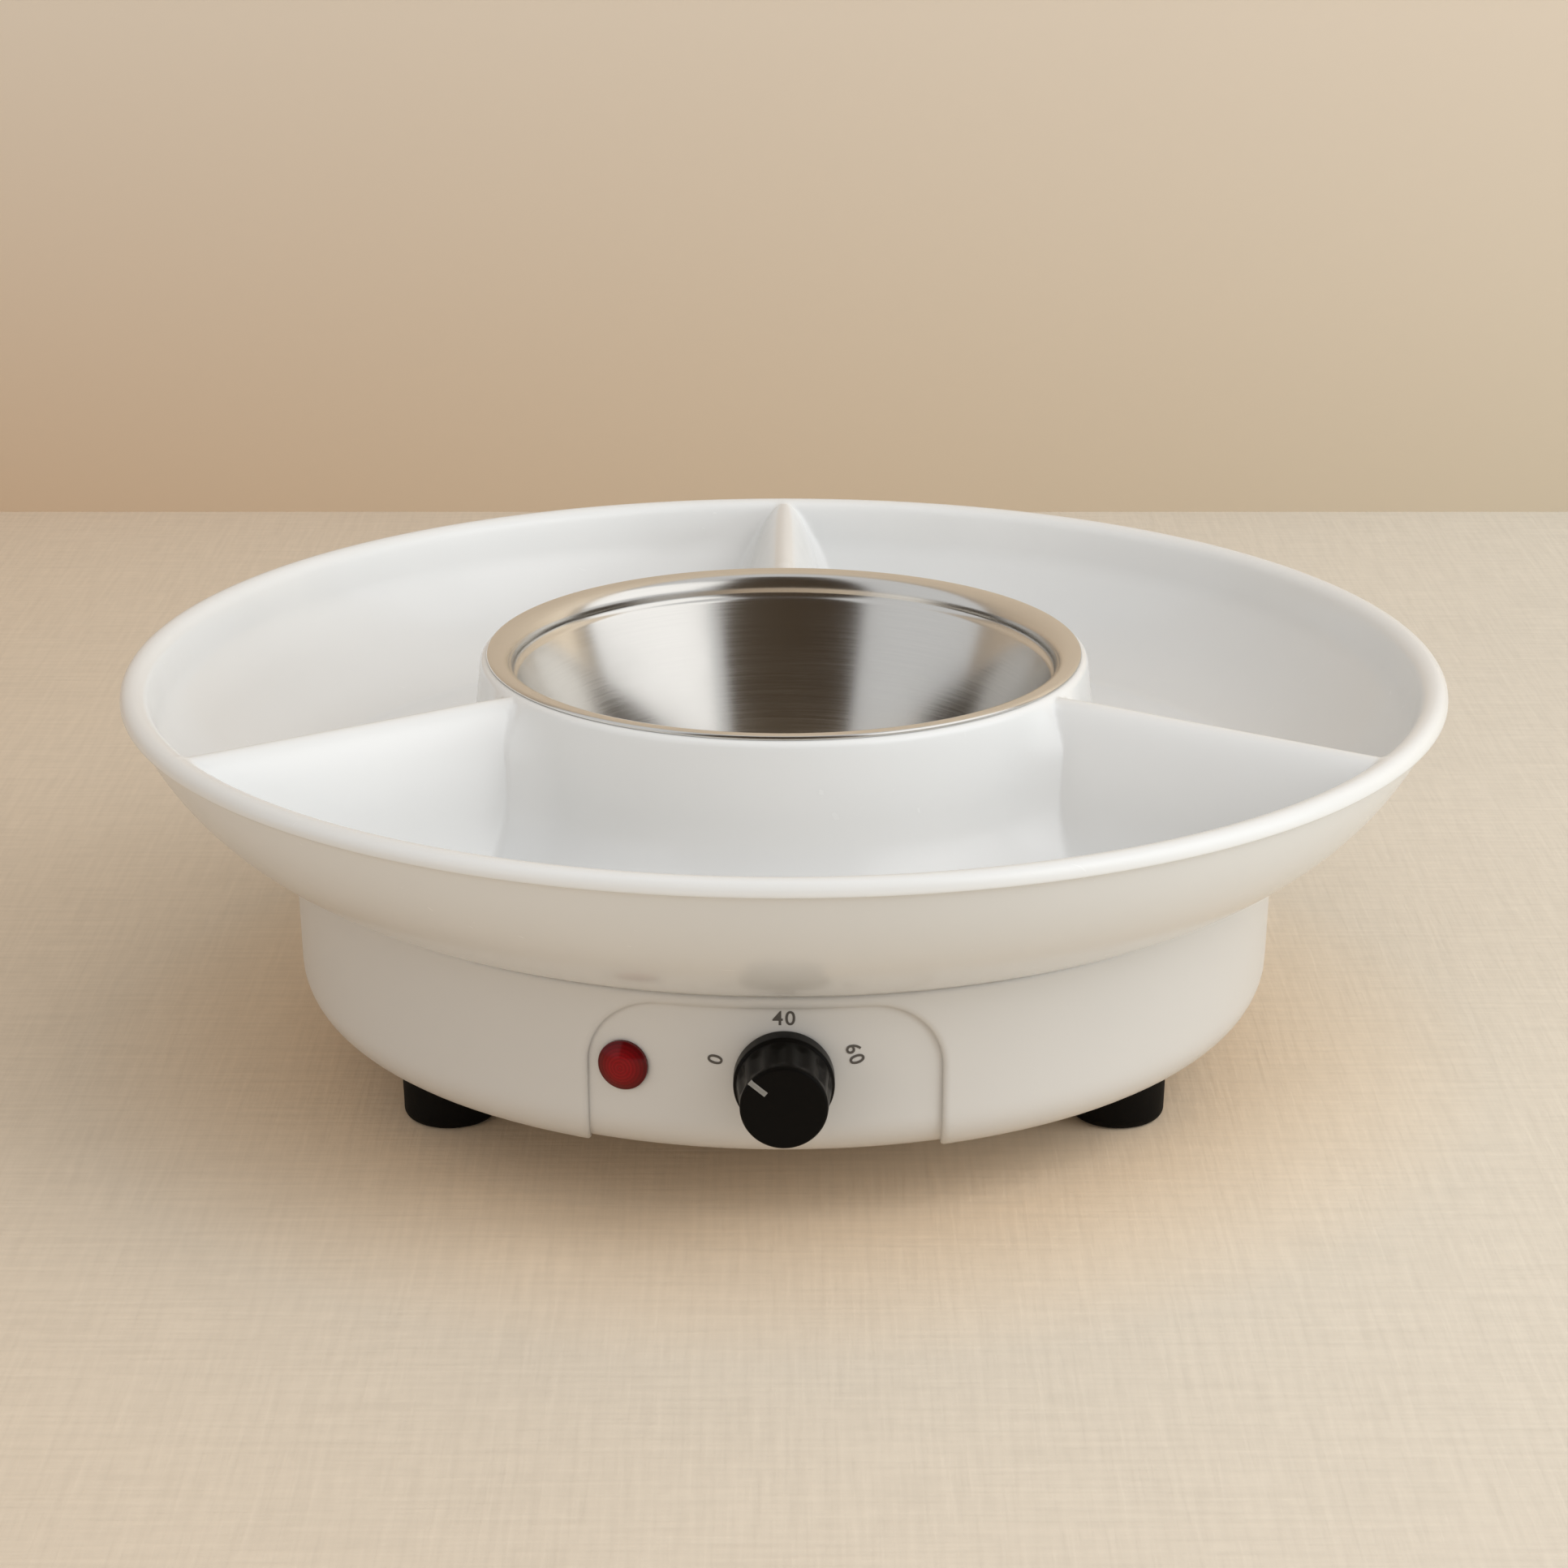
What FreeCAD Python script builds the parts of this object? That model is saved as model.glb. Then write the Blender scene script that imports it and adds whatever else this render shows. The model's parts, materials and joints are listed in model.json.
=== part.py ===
import FreeCAD, Part
import math
import os

# Electric chocolate melter: a heated round base, a serving tray with three compartments
# that stands on it, and a stainless bowl that hangs in the tray's collar over the heater.
# Millimetres. The origin is on the table under the centre, +Z up, the knob faces -Y.

# Serving tray
tray_radius = 150.0
tray_height = 36.0
rim_depth = 3.4
rim_width = 5.0
tray_wall = 2.6
tray_wall_arc = 63.0
tray_foot_radius = 118.3
collar_radius = 69.0
collar_draft = 1.6
collar_flare = 18.0
collar_rise = 1.7
seat_width = 2.6
wall_root_round = 8.0
rim_blend_round = 10.0
divider_angles = [90.0, 210.0, 330.0]
divider_half_top = 2.4
divider_slope = 15.0
divider_apex_half = 0.8
compartment_corner = 7.0
tray_edge_round = 2.6
tray_skirt_depth = 2.5
tray_skirt_width = 2.4

# Melting bowl
bowl_sheet = 1.0
flange_radius = 67.9
bowl_lip_radius = 62.0
bowl_lip_depth = 5.2
bowl_step = 1.0
bowl_base_radius = 43.0
bowl_reach = 12.9
bowl_base_round = 10.0
flange_bend_round = 2.4
bowl_step_round = 1.8
flange_edge_round = 0.45
bowl_clearance = 0.6

# Base housing and its deck
foot_height = 16.9
base_radius_low = 112.0
wall_flare = 0.7
base_corner = 10.7
housing_height = 39.0
shell_wall = 2.5
deck_edge = 2.5
deck_edge_round = 1.5
deck_rim_width = 14.7
deck_step = 3.5
deck_opening = 56.0
spigot_depth = 3.0
spigot_width = 2.0
shell_clearance = 0.3

# Control recess in the front wall
recess_left = -40.5
recess_right = 32.7
recess_top = 53.2
recess_corner = 15.0
recess_depth = 1.1
recess_reach = 24.0
recess_edge_round = 0.7
control_height = 37.8

# Feet and the screws that go in from below
foot_radius = 11.0
foot_inset = 25.4
foot_round = 2.2
foot_taper = 0.5
foot_well_radius = 4.8
foot_well_depth = 8.0
foot_angles = {"foot_rear": 90.0, "foot_left": 210.0, "foot_right": 330.0}
foot_boss_height = 5.0
foot_boss_radius = 4.9
foot_screw_radius = 1.75
deck_screw_angles = [30.0, 150.0, 235.0, 305.0]
deck_screw_inset = 22.0
deck_screw_radius = 1.75
deck_screw_grip = 12.0
pillar_radius = 4.5
screw_pad_radius = 6.0
screw_head_height = 2.2
screw_head_ratio = 1.9
screw_head_round = 0.4
screw_slot_long = 1.1
screw_slot_wide = 0.4
screw_slack = 0.05
clear_hole_slack = 0.3
fit_gap = 0.1

# Vents in the housing's floor
vent_count = 16
vent_inner = 30.0
vent_outer = 56.0
vent_width = 3.0

# Heating dish, gasket and their screws
dish_gap = 0.4
dish_sheet = 1.5
dish_flange_radius = 62.0
gasket_thickness = 1.0
gasket_inner = 57.0
dish_screw_ring_radius = 59.5
dish_screw_radius = 1.5
dish_screw_length = 9.0
dish_boss_height = 8.0
dish_boss_radius = 3.6
stud_radius = 2.5
stud_length = 18.9

# Heating element, clamp, thermostats, fuse and shield
element_ring_radius = 33.0
element_radius = 3.3
element_flat = 0.6
element_gap_half = 17.0
terminal_reach = 60.0
terminal_pin_radius = 1.6
terminal_cap_length = 14.0
clamp_sheet = 1.2
clamp_hub_radius = 9.0
clamp_arm_width = 8.0
clamp_arm_end = 36.5
clamp_bend_inner = 20.0
clamp_bend_outer = 26.0
thermostat_ring_radius = 17.0
thermostat_radius = 7.9
thermostat_cap = 3.0
thermostat_body_radius = 6.8
thermostat_height = 9.4
nut_height = 4.0
nut_flats = 8.0
shield_sheet = 0.6
shield_floor_radius = 40.0
shield_rim_radius = 54.0
shield_rim_height = 46.0
shield_notch = 7.0
fuse_radius = 2.2
fuse_length = 12.0
fuse_ring_radius = 19.0
fuse_angle = 55.0
fuse_clip_sheet = 0.6
fuse_clip_width = 5.0

# Rotary switch, shaft and knob
switch_sink = 6.25
switch_width = 22.0
switch_depth = 15.0
switch_edge = 2.0
switch_bore_floor = 3.0
bushing_radius = 4.7
bushing_length = 9.6
shaft_radius = 3.0
shaft_running_gap = 0.05
shaft_reach = 20.0
shaft_flat = 1.4
shaft_flat_length = 9.6
shaft_end_play = 0.5
washer_radius = 7.0
washer_thickness = 0.8
switch_nut_flats = 12.0
switch_nut_height = 2.0
spotface_radius = 7.6
spotface_sink = 1.05
seat_boss_radius = 12.0
tab_count = 3
tab_pitch = 7.0
tab_width = 4.8
tab_thickness = 0.8
tab_length = 7.0
knob_back_gap = 0.5
knob_reach = 16.35
knob_skirt_radius = 10.4
knob_skirt_length = 4.4
knob_skirt_chamfer = 0.6
grip_radius_back = 9.9
grip_radius_front = 8.9
knob_face_round = 0.8
flute_count = 12
flute_phase = 7.0
flute_radius = 2.4
flute_depth = 0.6
flute_stop = 1.6
flute_start = 0.8
knob_pocket_radius = 8.4
knob_pocket_gap = 0.8
pointer_angle = 140.0
pointer_inner = 4.7
pointer_outer = 9.0
pointer_width = 1.1
pointer_depth = 0.4
knob_clip_sheet = 0.4
knob_clip_width = 3.0
knob_clip_length = 7.0

# Indicator lamp
lens_azimuth = 252.74
lens_radius = 5.35
lens_height = 38.6
lens_dome = 1.7
lens_flange = 0.8
lens_barrel_radius = 4.3
lens_barrel_length = 12.0
lens_bore_radius = 3.0
lens_skin = 1.2
lens_seat_gap = 0.2
lamp_sink = 4.65
lamp_boss_radius = 8.0
lamp_boss_height = 3.0
lamp_radius = 2.6
lamp_length = 9.0
lamp_setback = 0.5
lamp_round = 1.0
lens_clip_radius = 7.0
lens_clip_sheet = 0.6

# Supply inlet
gland_azimuth = 90.0
gland_height = 33.0
gland_flange_radius = 9.5
gland_flange = 3.0
gland_barrel_radius = 6.8
gland_bore_radius = 3.5
gland_spotface_sink = 0.75
gland_seat_sink = 5.65
gland_barrel_reach = 8.5
gland_nut_flats = 18.0
gland_nut_height = 4.0
gland_round = 1.0

# Terminal block
block_setback = 36.7
block_length = 36.0
block_body_length = 21.0
block_depth = 16.0
block_top = 42.0
block_height = 11.0
block_lug_length = 7.0
block_lug_depth = 9.6
block_chamfer = 1.0
block_lug_height = 5.0
block_boss_radius = 4.0
pole_pitch = 8.0
pole_count = 3
sleeve_radius = 2.5
sleeve_bore = 1.6
sleeve_length = 14.0
pole_drop = 6.5
terminal_screw_sink = 1.0
well_radius = 1.9
well_offset = 4.5
terminal_screw_radius = 1.4
block_screw_radius = 1.5
block_screw_length = 14.0

# Wiring
lead_radius = 1.1
lamp_lead_radius = 0.8
lead_run_share = 0.45
harness_inner = 62.0
harness_radius = 72.0
harness_height = 30.0
harness_rise = 4.0
harness_start_angles = [80.7, 69.2]
harness_angles = [53.6, 30.0, 8.0, -16.0, -38.8]
lead_end_gap = 0.1
lead_first_run = 9.0
lamp_lead_offset = 1.2
lamp_lead_first_run = 8.0

# How far cutting tools run on past what they cut, and joined pieces run into each other
lap = 1.0

# Sizes that follow from the others
deck_top = foot_height + housing_height + deck_edge
housing_top = foot_height + housing_height
floor_top = foot_height + shell_wall
rim_top = deck_top + tray_height
collar_top = rim_top + collar_rise
tray_floor = deck_top + tray_wall
base_radius_high = base_radius_low + wall_flare
foot_ring_radius = base_radius_low - foot_inset
deck_screw_ring_radius = base_radius_low - deck_screw_inset
deck_step_radius = base_radius_high - deck_rim_width
deck_low = deck_top - deck_step
deck_under = deck_low - shell_wall
recess_end = base_radius_low - recess_reach
rim_inner = tray_radius - rim_width
rim_bead_radius = tray_radius - rim_depth / 2
seat_inner = bowl_lip_radius + flange_bend_round + bowl_clearance
seat_outer = seat_inner + seat_width
flange_top = collar_top + bowl_sheet
bowl_floor = deck_low - bowl_reach
bowl_step_height = flange_top - bowl_lip_depth
bowl_cone_radius = bowl_lip_radius - bowl_step
cone_run = bowl_cone_radius - bowl_base_radius
cone_rise = bowl_step_height - bowl_step - bowl_floor
cone_slope = cone_run / cone_rise
cone_stretch = math.hypot(cone_run, cone_rise) / cone_rise
dish_inside = bowl_sheet + dish_gap
dish_outside = dish_inside + dish_sheet
dish_under = bowl_floor - dish_outside
dish_flange_top = deck_low + gasket_thickness + dish_sheet
element_height = dish_under - element_radius + element_flat
clamp_top = dish_under - 2 * element_radius + element_flat
hub_top = dish_under - thermostat_height
clamp_nut_top = hub_top - clamp_sheet
shield_top = clamp_nut_top - nut_height
shield_nut_top = shield_top - shield_sheet
wall_lean = wall_flare / (housing_height - base_corner)
control_wall = base_radius_low + (control_height - foot_height - base_corner) * wall_lean
panel_radius = control_wall - recess_depth
switch_seat = panel_radius - switch_sink
spotface_plane = panel_radius - spotface_sink
shaft_end = switch_seat + shaft_reach
knob_back = panel_radius + knob_back_gap
knob_face = panel_radius + knob_reach
lamp_seat = panel_radius - lamp_sink
lens_surface = panel_radius + lens_seat_gap
lens_back = lens_surface - lens_barrel_length
gland_wall = base_radius_low + (gland_height - foot_height - base_corner) * wall_lean
gland_spotface_plane = gland_wall - gland_spotface_sink
gland_seat = gland_wall - gland_seat_sink
gland_barrel_end = gland_seat - gland_barrel_reach
block_y = base_radius_high - block_setback
up = FreeCAD.Vector(0, 0, 1)
origin = FreeCAD.Vector(0, 0, 0)
over = collar_top + 6 * lap


# Drawing helpers

def point(radius, height):
    """A point of a turned profile, drawn in the X-Z plane."""
    return FreeCAD.Vector(radius, 0, height)


def line(start, end):
    return Part.LineSegment(start, end).toShape()


def arc(start, middle, end):
    return Part.Arc(start, middle, end).toShape()


def arc_about(centre, start, end):
    """The short arc from start to end about a centre, in the X-Z plane."""
    radius = start.sub(centre).Length
    middle = start.sub(centre).add(end.sub(centre))
    middle.normalize()
    middle.multiply(radius)
    return arc(start, centre.add(middle), end)


def turned(edges):
    """A solid turned about the Z axis from a closed profile of edges."""
    return Part.Face(Part.Wire(edges)).revolve(origin, up, 360)


def turned_points(points):
    corners = points + [points[0]]
    edges = [line(corners[i], corners[i + 1]) for i in range(len(points))]
    return turned(edges)


def ring(inner, outer, low, high):
    """A flat ring between two radii and two heights."""
    body = Part.makeCylinder(outer, high - low, FreeCAD.Vector(0, 0, low))
    hole = Part.makeCylinder(inner, high - low + 2 * lap, FreeCAD.Vector(0, 0, low - lap))
    return body.cut(hole)


def pin(radius, low, high):
    return Part.makeCylinder(radius, high - low, FreeCAD.Vector(0, 0, low))


def block(width, depth, low, high):
    """A box centred on the Z axis."""
    corner = FreeCAD.Vector(-width / 2, -depth / 2, low)
    return Part.makeBox(width, depth, high - low, corner)


def hexagon(flats, low, high):
    """A hexagonal prism, given across its flats."""
    corner_radius = flats / math.sqrt(3)
    corners = []
    for step in range(7):
        angle = math.radians(60 * step)
        corners.append(FreeCAD.Vector(corner_radius * math.cos(angle), corner_radius * math.sin(angle), low))
    return Part.Face(Part.makePolygon(corners)).extrude(FreeCAD.Vector(0, 0, high - low))


def turned_to(shape, azimuth):
    """The shape turned about the Z axis from +X to the azimuth, in degrees."""
    placed = shape.copy()
    placed.rotate(origin, up, azimuth)
    return placed


def moved(shape, x, y, z):
    placed = shape.copy()
    placed.translate(FreeCAD.Vector(x, y, z))
    return placed


def outward(shape, azimuth, height):
    """A shape modelled along +Z from the centre, laid on its side to point out of the wall.
    Its own X runs along the wall and its own Y points up."""
    placed = shape.copy()
    placed.rotate(origin, FreeCAD.Vector(1, 0, 0), 90)
    placed.rotate(origin, up, azimuth + 90)
    placed.translate(FreeCAD.Vector(0, 0, height))
    return placed


def on_circle(radius, azimuth, height):
    angle = math.radians(azimuth)
    return FreeCAD.Vector(radius * math.cos(angle), radius * math.sin(angle), height)


def ring_edges(shape, radius, height):
    """The full circle edges of this radius at this height."""
    found = []
    for edge in shape.Edges:
        if edge.Curve.TypeId != "Part::GeomCircle":
            continue
        same_radius = abs(edge.Curve.Radius - radius) < 0.01
        same_height = abs(edge.Curve.Center.z - height) < 0.01
        if same_radius and same_height:
            found.append(edge)
    return found


def joined(first, others):
    return first.multiFuse(others).removeSplitter()


def single(shape):
    """The one solid of a shape."""
    return shape.Solids[0]


def pan_screw(shank_radius, length):
    """A pan head screw that points up: its head is below Z = 0 and its shank above."""
    head_radius = shank_radius * screw_head_ratio
    head = pin(head_radius, -screw_head_height, 0)
    lower_edge = ring_edges(head, head_radius, -screw_head_height)
    head = head.makeFillet(screw_head_height * screw_head_round, lower_edge)
    slot_long = head_radius * screw_slot_long
    slot_wide = shank_radius * screw_slot_wide
    slot_low = -screw_head_height - lap
    slot_high = -screw_head_height / 2
    cross = [
        block(slot_long, slot_wide, slot_low, slot_high),
        block(slot_wide, slot_long, slot_low, slot_high),
    ]
    return joined(head, [pin(shank_radius, 0, length)]).cut(cross)


# Serving tray

def tray_arc_centre():
    """Centre of the bowl-like wall: its outer arc runs from the tray's foot to the rim."""
    start = point(tray_foot_radius, deck_top)
    end = point(rim_bead_radius, rim_top - rim_depth)
    chord = end.sub(start)
    half = chord.Length / 2
    reach = math.sqrt(tray_wall_arc ** 2 - half ** 2)
    across = point(-chord.z, chord.x)
    across.normalize()
    across.multiply(reach)
    return start.add(end).multiply(0.5).add(across)


def tray_blank():
    """The tray's outer form, solid, up to the rounded rim."""
    centre = tray_arc_centre()
    foot = point(tray_foot_radius, deck_top)
    rim_under = point(rim_bead_radius, rim_top - rim_depth)
    rim_side = point(tray_radius, rim_top - rim_depth / 2)
    rim_over = point(rim_bead_radius, rim_top)
    return turned([
        line(point(0, deck_top), foot),
        arc_about(centre, foot, rim_under),
        arc(rim_under, rim_side, rim_over),
        line(rim_over, point(0, rim_top)),
        line(point(0, rim_top), point(0, deck_top)),
    ])


def inner_wall_radius(height):
    """Radius of the wall's inner face at a height below the rim."""
    centre = tray_arc_centre()
    return centre.x + math.sqrt((tray_wall_arc - tray_wall) ** 2 - (centre.z - height) ** 2)


def rim_blend_height():
    centre = tray_arc_centre()
    return centre.z - math.sqrt((tray_wall_arc - tray_wall) ** 2 - (rim_inner - centre.x) ** 2)


def compartment_ring():
    """The hollow of the tray round its collar, before the dividers part it."""
    centre = tray_arc_centre()
    collar_foot = collar_radius + collar_draft
    root = point(inner_wall_radius(tray_floor), tray_floor)
    blend = point(rim_inner, rim_blend_height())
    hollow = turned([
        line(point(collar_foot, tray_floor), root),
        arc_about(centre, root, blend),
        line(blend, point(rim_inner, over)),
        line(point(rim_inner, over), point(collar_radius, over)),
        line(point(collar_radius, over), point(collar_foot, tray_floor)),
    ])
    hollow = hollow.makeFillet(collar_flare, ring_edges(hollow, collar_foot, tray_floor))
    hollow = hollow.makeFillet(wall_root_round, ring_edges(hollow, root.x, tray_floor))
    return hollow.makeFillet(rim_blend_round, ring_edges(hollow, rim_inner, blend.z))


def ridge(half_top, low, high):
    """A divider's ridge along +X with drafted sides; half_top is its half width at the rim's height."""
    slope = math.tan(math.radians(divider_slope))
    half_low = half_top + (rim_top - low) * slope
    half_high = half_top + (rim_top - high) * slope
    corners = [
        FreeCAD.Vector(0, -half_low, low),
        FreeCAD.Vector(0, half_low, low),
        FreeCAD.Vector(0, half_high, high),
        FreeCAD.Vector(0, -half_high, high),
        FreeCAD.Vector(0, -half_low, low),
    ]
    return Part.Face(Part.makePolygon(corners)).extrude(FreeCAD.Vector(tray_radius, 0, 0))


def compartments(hollow):
    """The three compartments as solids, with rounded corners at the dividers."""
    dividers = [turned_to(ridge(divider_half_top, tray_floor - lap, over), angle) for angle in divider_angles]
    rounded = []
    for part in hollow.cut(dividers[0].multiFuse(dividers[1:])).Solids:
        chain = []
        for face in part.Faces:
            flat = face.Surface.TypeId == "Part::GeomPlane"
            if flat and abs(face.normalAt(0, 0).z) < 0.9:
                chain += [edge for edge in face.Edges if edge.BoundBox.ZMin < over - 1]
        rounded.append(part.makeFillet(compartment_corner, chain))
    return rounded


def ridge_hollows(hollow):
    """What is cored out of the dividers from below, so that their walls stay thin."""
    centre_x = collar_radius + collar_draft + collar_flare
    end_x = inner_wall_radius(tray_floor) - wall_root_round / 4
    slot = ring(centre_x, end_x, deck_top - lap, tray_floor + lap)
    region = hollow.fuse(slot)
    slope = math.tan(math.radians(divider_slope))
    half_top = divider_half_top - tray_wall / math.cos(math.radians(divider_slope))
    apex = rim_top - (divider_apex_half - half_top) / slope
    core = ridge(half_top, deck_top - lap, apex)
    return [turned_to(core, angle).common(region) for angle in divider_angles]


def collar_hollow():
    """The space under the collar, which flares like the collar's outside."""
    wall_in = collar_radius - tray_wall
    flare = collar_flare + tray_wall
    centre = point(collar_radius + collar_draft + collar_flare, tray_floor + collar_flare)
    mouth = point(centre.x, deck_top)
    throat = point(centre.x - flare, centre.z)
    ledge = collar_top - tray_wall
    return turned([
        line(point(0, deck_top - lap), point(mouth.x, deck_top - lap)),
        line(point(mouth.x, deck_top - lap), mouth),
        arc_about(centre, mouth, throat),
        line(throat, point(wall_in, ledge)),
        line(point(wall_in, ledge), point(0, ledge)),
        line(point(0, ledge), point(0, deck_top - lap)),
    ])


def serving_tray():
    hollow = compartment_ring()
    tray = tray_blank().cut(compartments(hollow))
    edges = []
    for edge in tray.Edges:
        level = abs(edge.BoundBox.ZMin - rim_top) < 0.01 and abs(edge.BoundBox.ZMax - rim_top) < 0.01
        if level and edge.BoundBox.XLength < 2 * rim_bead_radius - 1:
            edges.append(edge)
    tray = tray.makeFillet(tray_edge_round, edges)
    seat = pin(seat_outer, rim_top - lap, collar_top)
    skirt_outer = deck_step_radius - shell_clearance * 2
    skirt = ring(skirt_outer - tray_skirt_width, skirt_outer, deck_top - tray_skirt_depth, deck_top + lap)
    tray = tray.cut(ridge_hollows(hollow))
    tray = tray.multiFuse([seat, skirt]).cut([collar_hollow(), pin(seat_inner, deck_top, over)])
    return single(tray.removeSplitter())


# Melting bowl and heating dish

def bowl_form(offset, top):
    """The bowl's inner form grown by an offset, as a solid up to a height."""
    def cone_radius(height):
        return bowl_base_radius + (height - bowl_floor) * cone_slope + offset * cone_stretch
    low = bowl_floor - offset
    form = turned_points([
        point(0, low),
        point(cone_radius(low), low),
        point(cone_radius(top), top),
        point(0, top),
    ])
    return form.makeFillet(bowl_base_round + offset, ring_edges(form, cone_radius(low), low))


def bowl_space(offset):
    """The bowl's full form, tapered wall, step and lip, grown by an offset."""
    step_low = bowl_step_height - bowl_step
    lip = turned_points([
        point(0, step_low),
        point(bowl_cone_radius + offset * cone_stretch, step_low),
        point(bowl_lip_radius + offset, bowl_step_height),
        point(bowl_lip_radius + offset, flange_top),
        point(0, flange_top),
    ])
    return bowl_form(offset, step_low).fuse(lip)


def melting_bowl():
    flange = pin(flange_radius, collar_top, flange_top)
    outer = joined(bowl_space(bowl_sheet), [flange])
    bowl = outer.cut(bowl_space(0))
    bowl = bowl.makeFillet(flange_bend_round, ring_edges(bowl, bowl_lip_radius, flange_top))
    under = ring_edges(bowl, bowl_lip_radius + bowl_sheet, collar_top)
    bowl = bowl.makeFillet(flange_bend_round - bowl_sheet, under)
    for skin in (0, bowl_sheet):
        step = ring_edges(bowl, bowl_lip_radius + skin, bowl_step_height)
        step += ring_edges(bowl, bowl_cone_radius + skin * cone_stretch, bowl_step_height - bowl_step)
        bowl = bowl.makeFillet(bowl_step_round, step)
    rim = ring_edges(bowl, flange_radius, flange_top) + ring_edges(bowl, flange_radius, collar_top)
    return single(bowl.makeFillet(flange_edge_round, rim))


def dish_screw_holes(low, high):
    hole = pin(dish_screw_radius + clear_hole_slack, low, high)
    return [moved(hole, *on_circle(dish_screw_ring_radius, angle, 0)) for angle in divider_angles]


def heating_dish():
    """Spun dish with a flange, and the stud that carries the clamp and the shield."""
    flange_low = dish_flange_top - dish_sheet
    outer = bowl_form(dish_outside, dish_flange_top)
    flange = pin(dish_flange_radius, flange_low, dish_flange_top)
    stud = pin(stud_radius, dish_under - stud_length, dish_under + dish_sheet / 2)
    dish = joined(outer, [flange, stud]).cut(bowl_form(dish_inside, dish_flange_top + lap))
    return single(dish.cut(dish_screw_holes(flange_low - lap, dish_flange_top + lap)))


def dish_gasket():
    gasket = ring(gasket_inner, dish_flange_radius, deck_low, deck_low + gasket_thickness)
    return single(gasket.cut(dish_screw_holes(deck_low - lap, deck_low + gasket_thickness + lap)))


def dish_screws():
    screw = pan_screw(dish_screw_radius, dish_screw_length)
    screw.rotate(origin, FreeCAD.Vector(1, 0, 0), 180)
    places = [on_circle(dish_screw_ring_radius, angle, dish_flange_top) for angle in divider_angles]
    return Part.makeCompound([moved(screw, *place) for place in places])


# Base

def top_deck():
    """The base's lid: a raised outer ring that the tray stands on, a lower middle, a spigot that
    locates it in the housing, pillars for the long screws and bosses for dish and terminal block."""
    edge = base_radius_high
    ring_inner = deck_step_radius + shell_wall
    spigot_outer = base_radius_high - shell_wall - shell_clearance
    spigot_inner = spigot_outer - spigot_width
    deck = turned_points([
        point(deck_opening, deck_under),
        point(ring_inner, deck_under),
        point(ring_inner, housing_top),
        point(spigot_inner, housing_top),
        point(spigot_inner, housing_top - spigot_depth),
        point(spigot_outer, housing_top - spigot_depth),
        point(spigot_outer, housing_top),
        point(edge, housing_top),
        point(edge, deck_top),
        point(deck_step_radius, deck_top),
        point(deck_step_radius, deck_low),
        point(deck_opening, deck_low),
    ])
    deck = deck.makeFillet(deck_edge_round, ring_edges(deck, edge, deck_top))
    pillar = pin(pillar_radius, floor_top + screw_head_height, deck_low - lap)
    dish_boss = pin(dish_boss_radius, deck_under - dish_boss_height, deck_low - lap)
    block_boss = pin(block_boss_radius, block_top, deck_low - lap)
    added = [moved(pillar, *on_circle(deck_screw_ring_radius, angle, 0)) for angle in deck_screw_angles]
    added += [moved(dish_boss, *on_circle(dish_screw_ring_radius, angle, 0)) for angle in divider_angles]
    added += [moved(block_boss, x, block_y, 0) for x in block_lug_places()]
    pillar_low = floor_top + screw_head_height - lap
    pillar_hole = pin(deck_screw_radius + screw_slack, pillar_low, pillar_low + deck_screw_grip + 2 * lap)
    dish_hole = pin(dish_screw_radius + screw_slack, deck_under - dish_boss_height + lap, deck_low + lap)
    block_hole = pin(block_screw_radius + screw_slack, block_top - lap, deck_under)
    behind_panel = wall_form(shell_wall + recess_depth + shell_clearance)
    bulge = recess_outline(shell_wall + shell_clearance).cut(behind_panel).common(wall_form(0))
    holes = [moved(pillar_hole, *on_circle(deck_screw_ring_radius, angle, 0)) for angle in deck_screw_angles]
    holes += [moved(dish_hole, *on_circle(dish_screw_ring_radius, angle, 0)) for angle in divider_angles]
    holes += [moved(block_hole, x, block_y, 0) for x in block_lug_places()]
    return single(joined(deck, added).cut(holes + [bulge]))


def wall_form(inset):
    """The housing's outer form, moved in by an inset all over."""
    low = foot_height + inset
    corner = base_corner - inset
    floor_radius = base_radius_low - base_corner
    centre = point(floor_radius, low + corner)
    turn_low = point(floor_radius, low)
    turn_high = point(base_radius_low - inset, low + corner)
    top = point(base_radius_high - inset, housing_top)
    return turned([
        line(point(0, low), turn_low),
        arc_about(centre, turn_low, turn_high),
        line(turn_high, top),
        line(top, point(0, housing_top)),
        line(point(0, housing_top), point(0, low)),
    ])


def recess_outline(grow):
    """The arch of the control recess, drawn as a prism through the front wall."""
    left = recess_left - grow
    right = recess_right + grow
    top = recess_top + grow
    corner = recess_corner + grow
    slant = corner * (1 - math.sqrt(0.5))
    start = base_radius_high + lap
    def at(x, z):
        return FreeCAD.Vector(x, -start, z)
    edges = [
        line(at(left, 0), at(left, top - corner)),
        arc(at(left, top - corner), at(left + slant, top - slant), at(left + corner, top)),
        line(at(left + corner, top), at(right - corner, top)),
        arc(at(right - corner, top), at(right - slant, top - slant), at(right, top - corner)),
        line(at(right, top - corner), at(right, 0)),
        line(at(right, 0), at(left, 0)),
    ]
    return Part.Face(Part.Wire(edges)).extrude(FreeCAD.Vector(0, start - recess_end - grow, 0))


def vents():
    """Radial slots with round ends through the housing's floor."""
    low = foot_height - lap
    high = floor_top + lap
    half = vent_width / 2
    corner = FreeCAD.Vector(vent_inner, -half, low)
    slot = Part.makeBox(vent_outer - vent_inner, vent_width, high - low, corner)
    slot = slot.fuse([moved(pin(half, low, high), x, 0, 0) for x in (vent_inner, vent_outer)])
    return [turned_to(slot.removeSplitter(), 360 * (step + 0.5) / vent_count) for step in range(vent_count)]


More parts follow.
